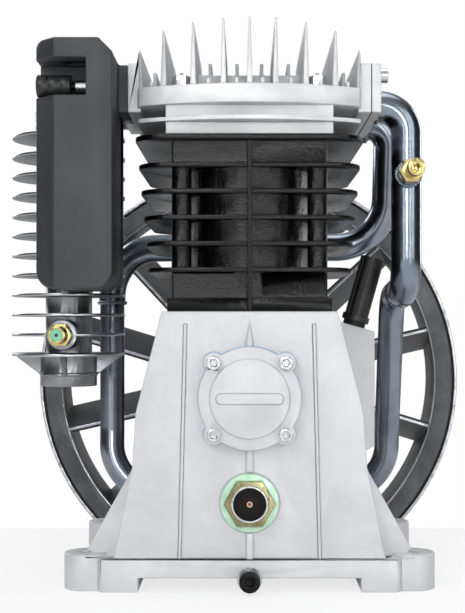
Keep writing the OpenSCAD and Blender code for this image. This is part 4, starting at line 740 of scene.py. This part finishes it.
front = tube_run("front_tube_run", [(FACE_X, *FRONT_PORT), (TUBE_X, *FRONT_PORT),
                                    (TUBE_X, FRONT_PORT[0], JOINT_Z), (TUBE_X, JOINT_Y, JOINT_Z)],
                 [TUBE_D * k for k in FRONT_BEND_SHARES], TUBE_D)
loop = tube_run("lower_loop_run", [(TUBE_X, JOINT_Y, JOINT_Z), (TUBE_X, KNEE_Y, JOINT_Z),
                                   (TUBE_X, SHOULDER_Y, SHOULDER_Z), (TUBE_X, LOOP_Y, LOOP_Z),
                                   (-TUBE_X, LOOP_Y, LOOP_Z), (-TUBE_X, LEFT_JOINT[1], SHOULDER_Z),
                                   LEFT_JOINT],
                [LOOP_D * k for k in LOOP_BEND_SHARES], LOOP_D)
upper = tube_run("upper_tube_run", [LEFT_JOINT, (*LEFT_JOINT[:2], UPPER_Z), (CROSSING_X, UPPER_Y, UPPER_Z),
                                    (UPPER_X, UPPER_Y, UPPER_Z), (UPPER_X, *UPPER_PORT),
                                    (FACE_X, *UPPER_PORT)],
                 [TUBE_D * k for k in UPPER_BEND_SHARES], TUBE_D)

SAFETY_Z, BOSS_R, BOSS_LEN = 313, 9, 24
boss = tube_run("valve_boss_run", [(TUBE_X, FRONT_PORT[0] - BOSS_LEN, SAFETY_Z),
                                   (TUBE_X, FRONT_PORT[0], SAFETY_Z)], [], 2 * BOSS_R)

# A weld stands this far off a face, a boss's weld off its tube's axis, and rings this far out
PORT_OFF, SEAM_OFF, BOSS_OFF = 0.8, 0.6, 12.4
RING_OUT, SEAM_OUT = 0.3, 0.6

# Number of beads in a ring, and their radius
PORT_BEADS, BOSS_BEADS, SEAM_BEADS = (34, 1.9), (26, 1.7), (34, 1.6)
front = joined("front_tube_finished", [
    front, boss,
    weld("flange_weld", (FACE_X + PORT_OFF, *FRONT_PORT), ALONG_X, TUBE_D / 2 + RING_OUT,
         *PORT_BEADS, seed=3),
    weld("boss_weld", (TUBE_X, FRONT_PORT[0] - BOSS_OFF, SAFETY_Z), ALONG_Y, BOSS_R + RING_OUT,
         *BOSS_BEADS, seed=7),
    weld("joint_weld", (TUBE_X, JOINT_Y - SEAM_OFF, JOINT_Z), ALONG_Y, LOOP_D / 2 + SEAM_OUT,
         *SEAM_BEADS, seed=11)])
upper = joined("upper_tube_finished", [
    upper,
    weld("port_weld", (FACE_X + PORT_OFF, *UPPER_PORT), ALONG_X, TUBE_D / 2 + RING_OUT,
         *PORT_BEADS, seed=13),
    weld("left_weld", (*LEFT_JOINT[:2], LEFT_JOINT[2] + SEAM_OFF), (0, 0, 0), LOOP_D / 2 + SEAM_OUT,
         *SEAM_BEADS, seed=17)])
loop.name = "lower_loop_finished"
settle(front, "housing", "tube_steel", "front_tube")
settle(loop, "housing", "tube_steel", "lower_loop")
settle(upper, "housing", "tube_steel", "upper_tube")


# Socket screws

def screws(name, spots, turn, head_mm, socket_af, depth, shank_mm, node, edge_mm=0.4):
    """head_mm and shank_mm are (radius, length)."""
    mesh = bpy.data.meshes.new(name)
    mesh.from_pydata([mm(*s) for s in spots], [], [])
    piece = grow(new_object(name + "_work", mesh), SOCKET_SCREWS, {
        "Head radius": head_mm[0] * MM, "Head height": head_mm[1] * MM,
        "Socket radius": socket_af / math.sqrt(3) * MM, "Socket depth": 2 * depth * MM,
        "Shank radius": shank_mm[0] * MM, "Shank length": shank_mm[1] * MM,
        "Turn": turn, "Finish": FINISHES["fastener_steel"]}, name, edge_mm)
    return settle(piece, "housing", "fastener_steel", node)


COVER_FACE_Y = FRONT_Y - 9
COVER_SPREAD = 26
M6_HEAD, M6_SHANK = (5, 6), (2.95, 16)
screws("cover_screws_finished",
       [(sx * COVER_SPREAD, COVER_FACE_Y, CRANK_Z + sz * COVER_SPREAD) for sx in (-1, 1) for sz in (-1, 1)],
       ALONG_Y, M6_HEAD, socket_af=5, depth=3, shank_mm=M6_SHANK, node="cover_screws", edge_mm=0.5)


# Black sleeve on the stud in the intake mouth

def sleeve(name, start, profile, sides=64):
    """A closed turned piece along +X from start; profile is (distance along, radius) in millimetres."""
    work = bmesh.new()
    rings = [[work.verts.new(mm(start[0] + along, start[1] + r * math.cos(2 * math.pi * k / sides),
                                start[2] + r * math.sin(2 * math.pi * k / sides))) for k in range(sides)]
             for along, r in profile]
    for a, b in zip(rings, rings[1:]):
        for k in range(sides):
            work.faces.new((a[k], a[(k + 1) % sides], b[(k + 1) % sides], b[k]))
    work.faces.new(rings[0])
    work.faces.new(rings[-1])
    bmesh.ops.recalc_face_normals(work, faces=work.faces)
    mesh = bpy.data.meshes.new(name)
    work.to_mesh(mesh)
    work.free()
    mesh.polygons.foreach_set("use_smooth", [len(f.vertices) == 4 for f in mesh.polygons])
    mesh.materials.append(FINISHES["breather_plastic"])
    return new_object(name, mesh)


stud_low, stud_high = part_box("filter_stud")
stud_line = [(stud_low[i] + stud_high[i]) / 2 / MM for i in (1, 2)]
SLEEVE_X, SLEEVE_LEN = -155.5, 25
SLEEVE_R, SLEEVE_GROOVE_R, SLEEVE_END_R = 8.3, 7.9, 7.6
SLEEVE_CHAMFER = 0.6
GROOVES_AT, GROOVE_SLOPE, GROOVE_FLOOR = (8, 17), 0.4, 0.6
grooves = [point for at in GROOVES_AT for point in (
    (at, SLEEVE_R), (at + GROOVE_SLOPE, SLEEVE_GROOVE_R),
    (at + GROOVE_SLOPE + GROOVE_FLOOR, SLEEVE_GROOVE_R), (at + 2 * GROOVE_SLOPE + GROOVE_FLOOR, SLEEVE_R))]
sleeve_profile = [(0, SLEEVE_END_R), (SLEEVE_CHAMFER, SLEEVE_R), *grooves,
                  (SLEEVE_LEN - SLEEVE_CHAMFER, SLEEVE_R), (SLEEVE_LEN, SLEEVE_END_R)]
settle(sleeve("intake_sleeve", (SLEEVE_X, *stud_line), sleeve_profile), "housing", "plug_black")


# Stage, camera and light

def slab(name, low, high, mat):
    mesh = bpy.data.meshes.new(name)
    work = bmesh.new()
    bmesh.ops.create_cube(work, size=1)
    for v in work.verts:
        v.co = Vector([low[i] + (v.co[i] + 0.5) * (high[i] - low[i]) for i in range(3)])
    work.to_mesh(mesh)
    work.free()
    mesh.materials.append(mat)
    piece = new_object(name, mesh)
    return piece


def pale_stage(name, white_share):
    """Pale board: white_share of what the camera sees of it is plain white."""
    f = Finish(name, rough=0.9)
    mat = f.done(f.mix(f.noise(300), tint("F4F4F4"), tint("F9F9F9")))
    glow = f.add("ShaderNodeEmission")
    glow.inputs["Strength"].default_value = 1
    rays = f.add("ShaderNodeLightPath")
    seen = f.math("MULTIPLY", rays.outputs["Is Camera Ray"], white_share)
    blend = f.add("ShaderNodeMixShader")
    f.put(blend.inputs[0], seen)
    f.put(blend.inputs[1], f.shader.outputs["BSDF"])
    f.put(blend.inputs[2], glow.outputs["Emission"])
    f.put(f.end.inputs["Surface"], blend.outputs["Shader"])
    return mat


# Low and high corners in metres; the plinth ends in front of the wheel, which hangs below it
PLINTH = ((-1.6, -1.9, -0.3), (1.6, 0.1925, 0))
FLOOR = ((-6, -6, -0.32), (6, 6, -0.3))
slab("plinth", *PLINTH, pale_stage("plinth_pale", 0.75))
slab("floor", *FLOOR, pale_stage("floor_white", 1.0))

# The camera that the photograph was solved for
CAMERA_MM = (-3.4, -992.5, 195.4)
LENS_MM, SENSOR_MM = 72.4, 36
SHIFT = (-0.0204, 0.0302)
NEAR_CLIP = 0.01

camera = bpy.data.objects.new("camera", bpy.data.cameras.new("camera"))
bpy.context.scene.collection.objects.link(camera)
camera.location = mm(*CAMERA_MM)
camera.rotation_euler = (QUARTER, 0, 0)
camera.data.sensor_width = SENSOR_MM
camera.data.lens = LENS_MM
camera.data.shift_x, camera.data.shift_y = SHIFT
camera.data.clip_start = NEAR_CLIP
bpy.context.scene.camera = camera


def softbox(name, place, aim, size, power):
    lamp = bpy.data.lights.new(name, "AREA")
    lamp.shape = "RECTANGLE"
    lamp.size, lamp.size_y = size
    lamp.energy = power
    holder = bpy.data.objects.new(name, lamp)
    bpy.context.scene.collection.objects.link(holder)
    holder.location = place
    holder.rotation_euler = (Vector(aim) - Vector(place)).to_track_quat("-Z", "Y").to_euler()


# Place and aim in metres, size in metres, power in watts
LAMPS = {
    "key": ((-1.3, -1.9, 1.7), (0, 0, 0.2), (1.0, 1.0), 21),
    "fill": ((1.6, -1.6, 0.9), (0, 0, 0.2), (0.8, 1.4), 8),
    "front": ((0.0, -2.3, 0.55), (0, 0, 0.25), (0.4, 0.4), 8),
    "strip_right": ((0.9, -1.9, 0.5), (0.1, 0, 0.2), (0.12, 1.6), 5),
    "strip_left": ((-0.8, -2.0, 0.5), (-0.1, 0, 0.2), (0.12, 1.6), 4.5),
    "top": ((0.1, 0.1, 2.0), (0, 0, 0.2), (1.4, 1.4), 11),
    "back_left": ((-1.4, 1.4, 0.9), (0, 0.1, 0.2), (0.6, 1.2), 10),
    "back_right": ((1.5, 1.3, 0.8), (0, 0.1, 0.2), (0.6, 1.2), 10),
}
for name, (place, aim, size, power) in LAMPS.items():
    softbox(name, place, aim, size, power)

# The world is pale where a direction's sideways share is low, and dark where it is high
PALE_UP_TO, DARK_FROM = 0.3, 0.8
SKY_PALE, SKY_DARK = (0.8, 0.81, 0.83, 1), (0.07, 0.075, 0.085, 1)
SKY_STRENGTH = 0.6


def studio_world():
    """Soft light that is dark to the sides, and plain white to the camera."""
    world = bpy.data.worlds.new("studio")
    bpy.context.scene.world = world
    world.use_nodes = True
    sky = world.node_tree
    sky.nodes.clear()
    way = sky.nodes.new("ShaderNodeTexCoord")
    split = sky.nodes.new("ShaderNodeSeparateXYZ")
    side = sky.nodes.new("ShaderNodeMath")
    side.operation = "ABSOLUTE"
    shade = sky.nodes.new("ShaderNodeValToRGB")
    for stop, at, colour in zip(shade.color_ramp.elements, (PALE_UP_TO, DARK_FROM), (SKY_PALE, SKY_DARK)):
        stop.position = at
        stop.color = colour
    soft = sky.nodes.new("ShaderNodeBackground")
    soft.inputs["Strength"].default_value = SKY_STRENGTH
    white = sky.nodes.new("ShaderNodeBackground")
    white.inputs["Color"].default_value = (1, 1, 1, 1)
    ray = sky.nodes.new("ShaderNodeLightPath")
    choose = sky.nodes.new("ShaderNodeMixShader")
    end = sky.nodes.new("ShaderNodeOutputWorld")
    for a, b in ((way.outputs["Generated"], split.inputs[0]), (split.outputs["X"], side.inputs[0]),
                 (side.outputs[0], shade.inputs[0]), (shade.outputs[0], soft.inputs["Color"]),
                 (ray.outputs["Is Camera Ray"], choose.inputs[0]), (soft.outputs[0], choose.inputs[1]),
                 (white.outputs[0], choose.inputs[2]), (choose.outputs[0], end.inputs["Surface"])):
        sky.links.new(a, b)


studio_world()
bpy.context.scene.view_settings.view_transform = "Standard"
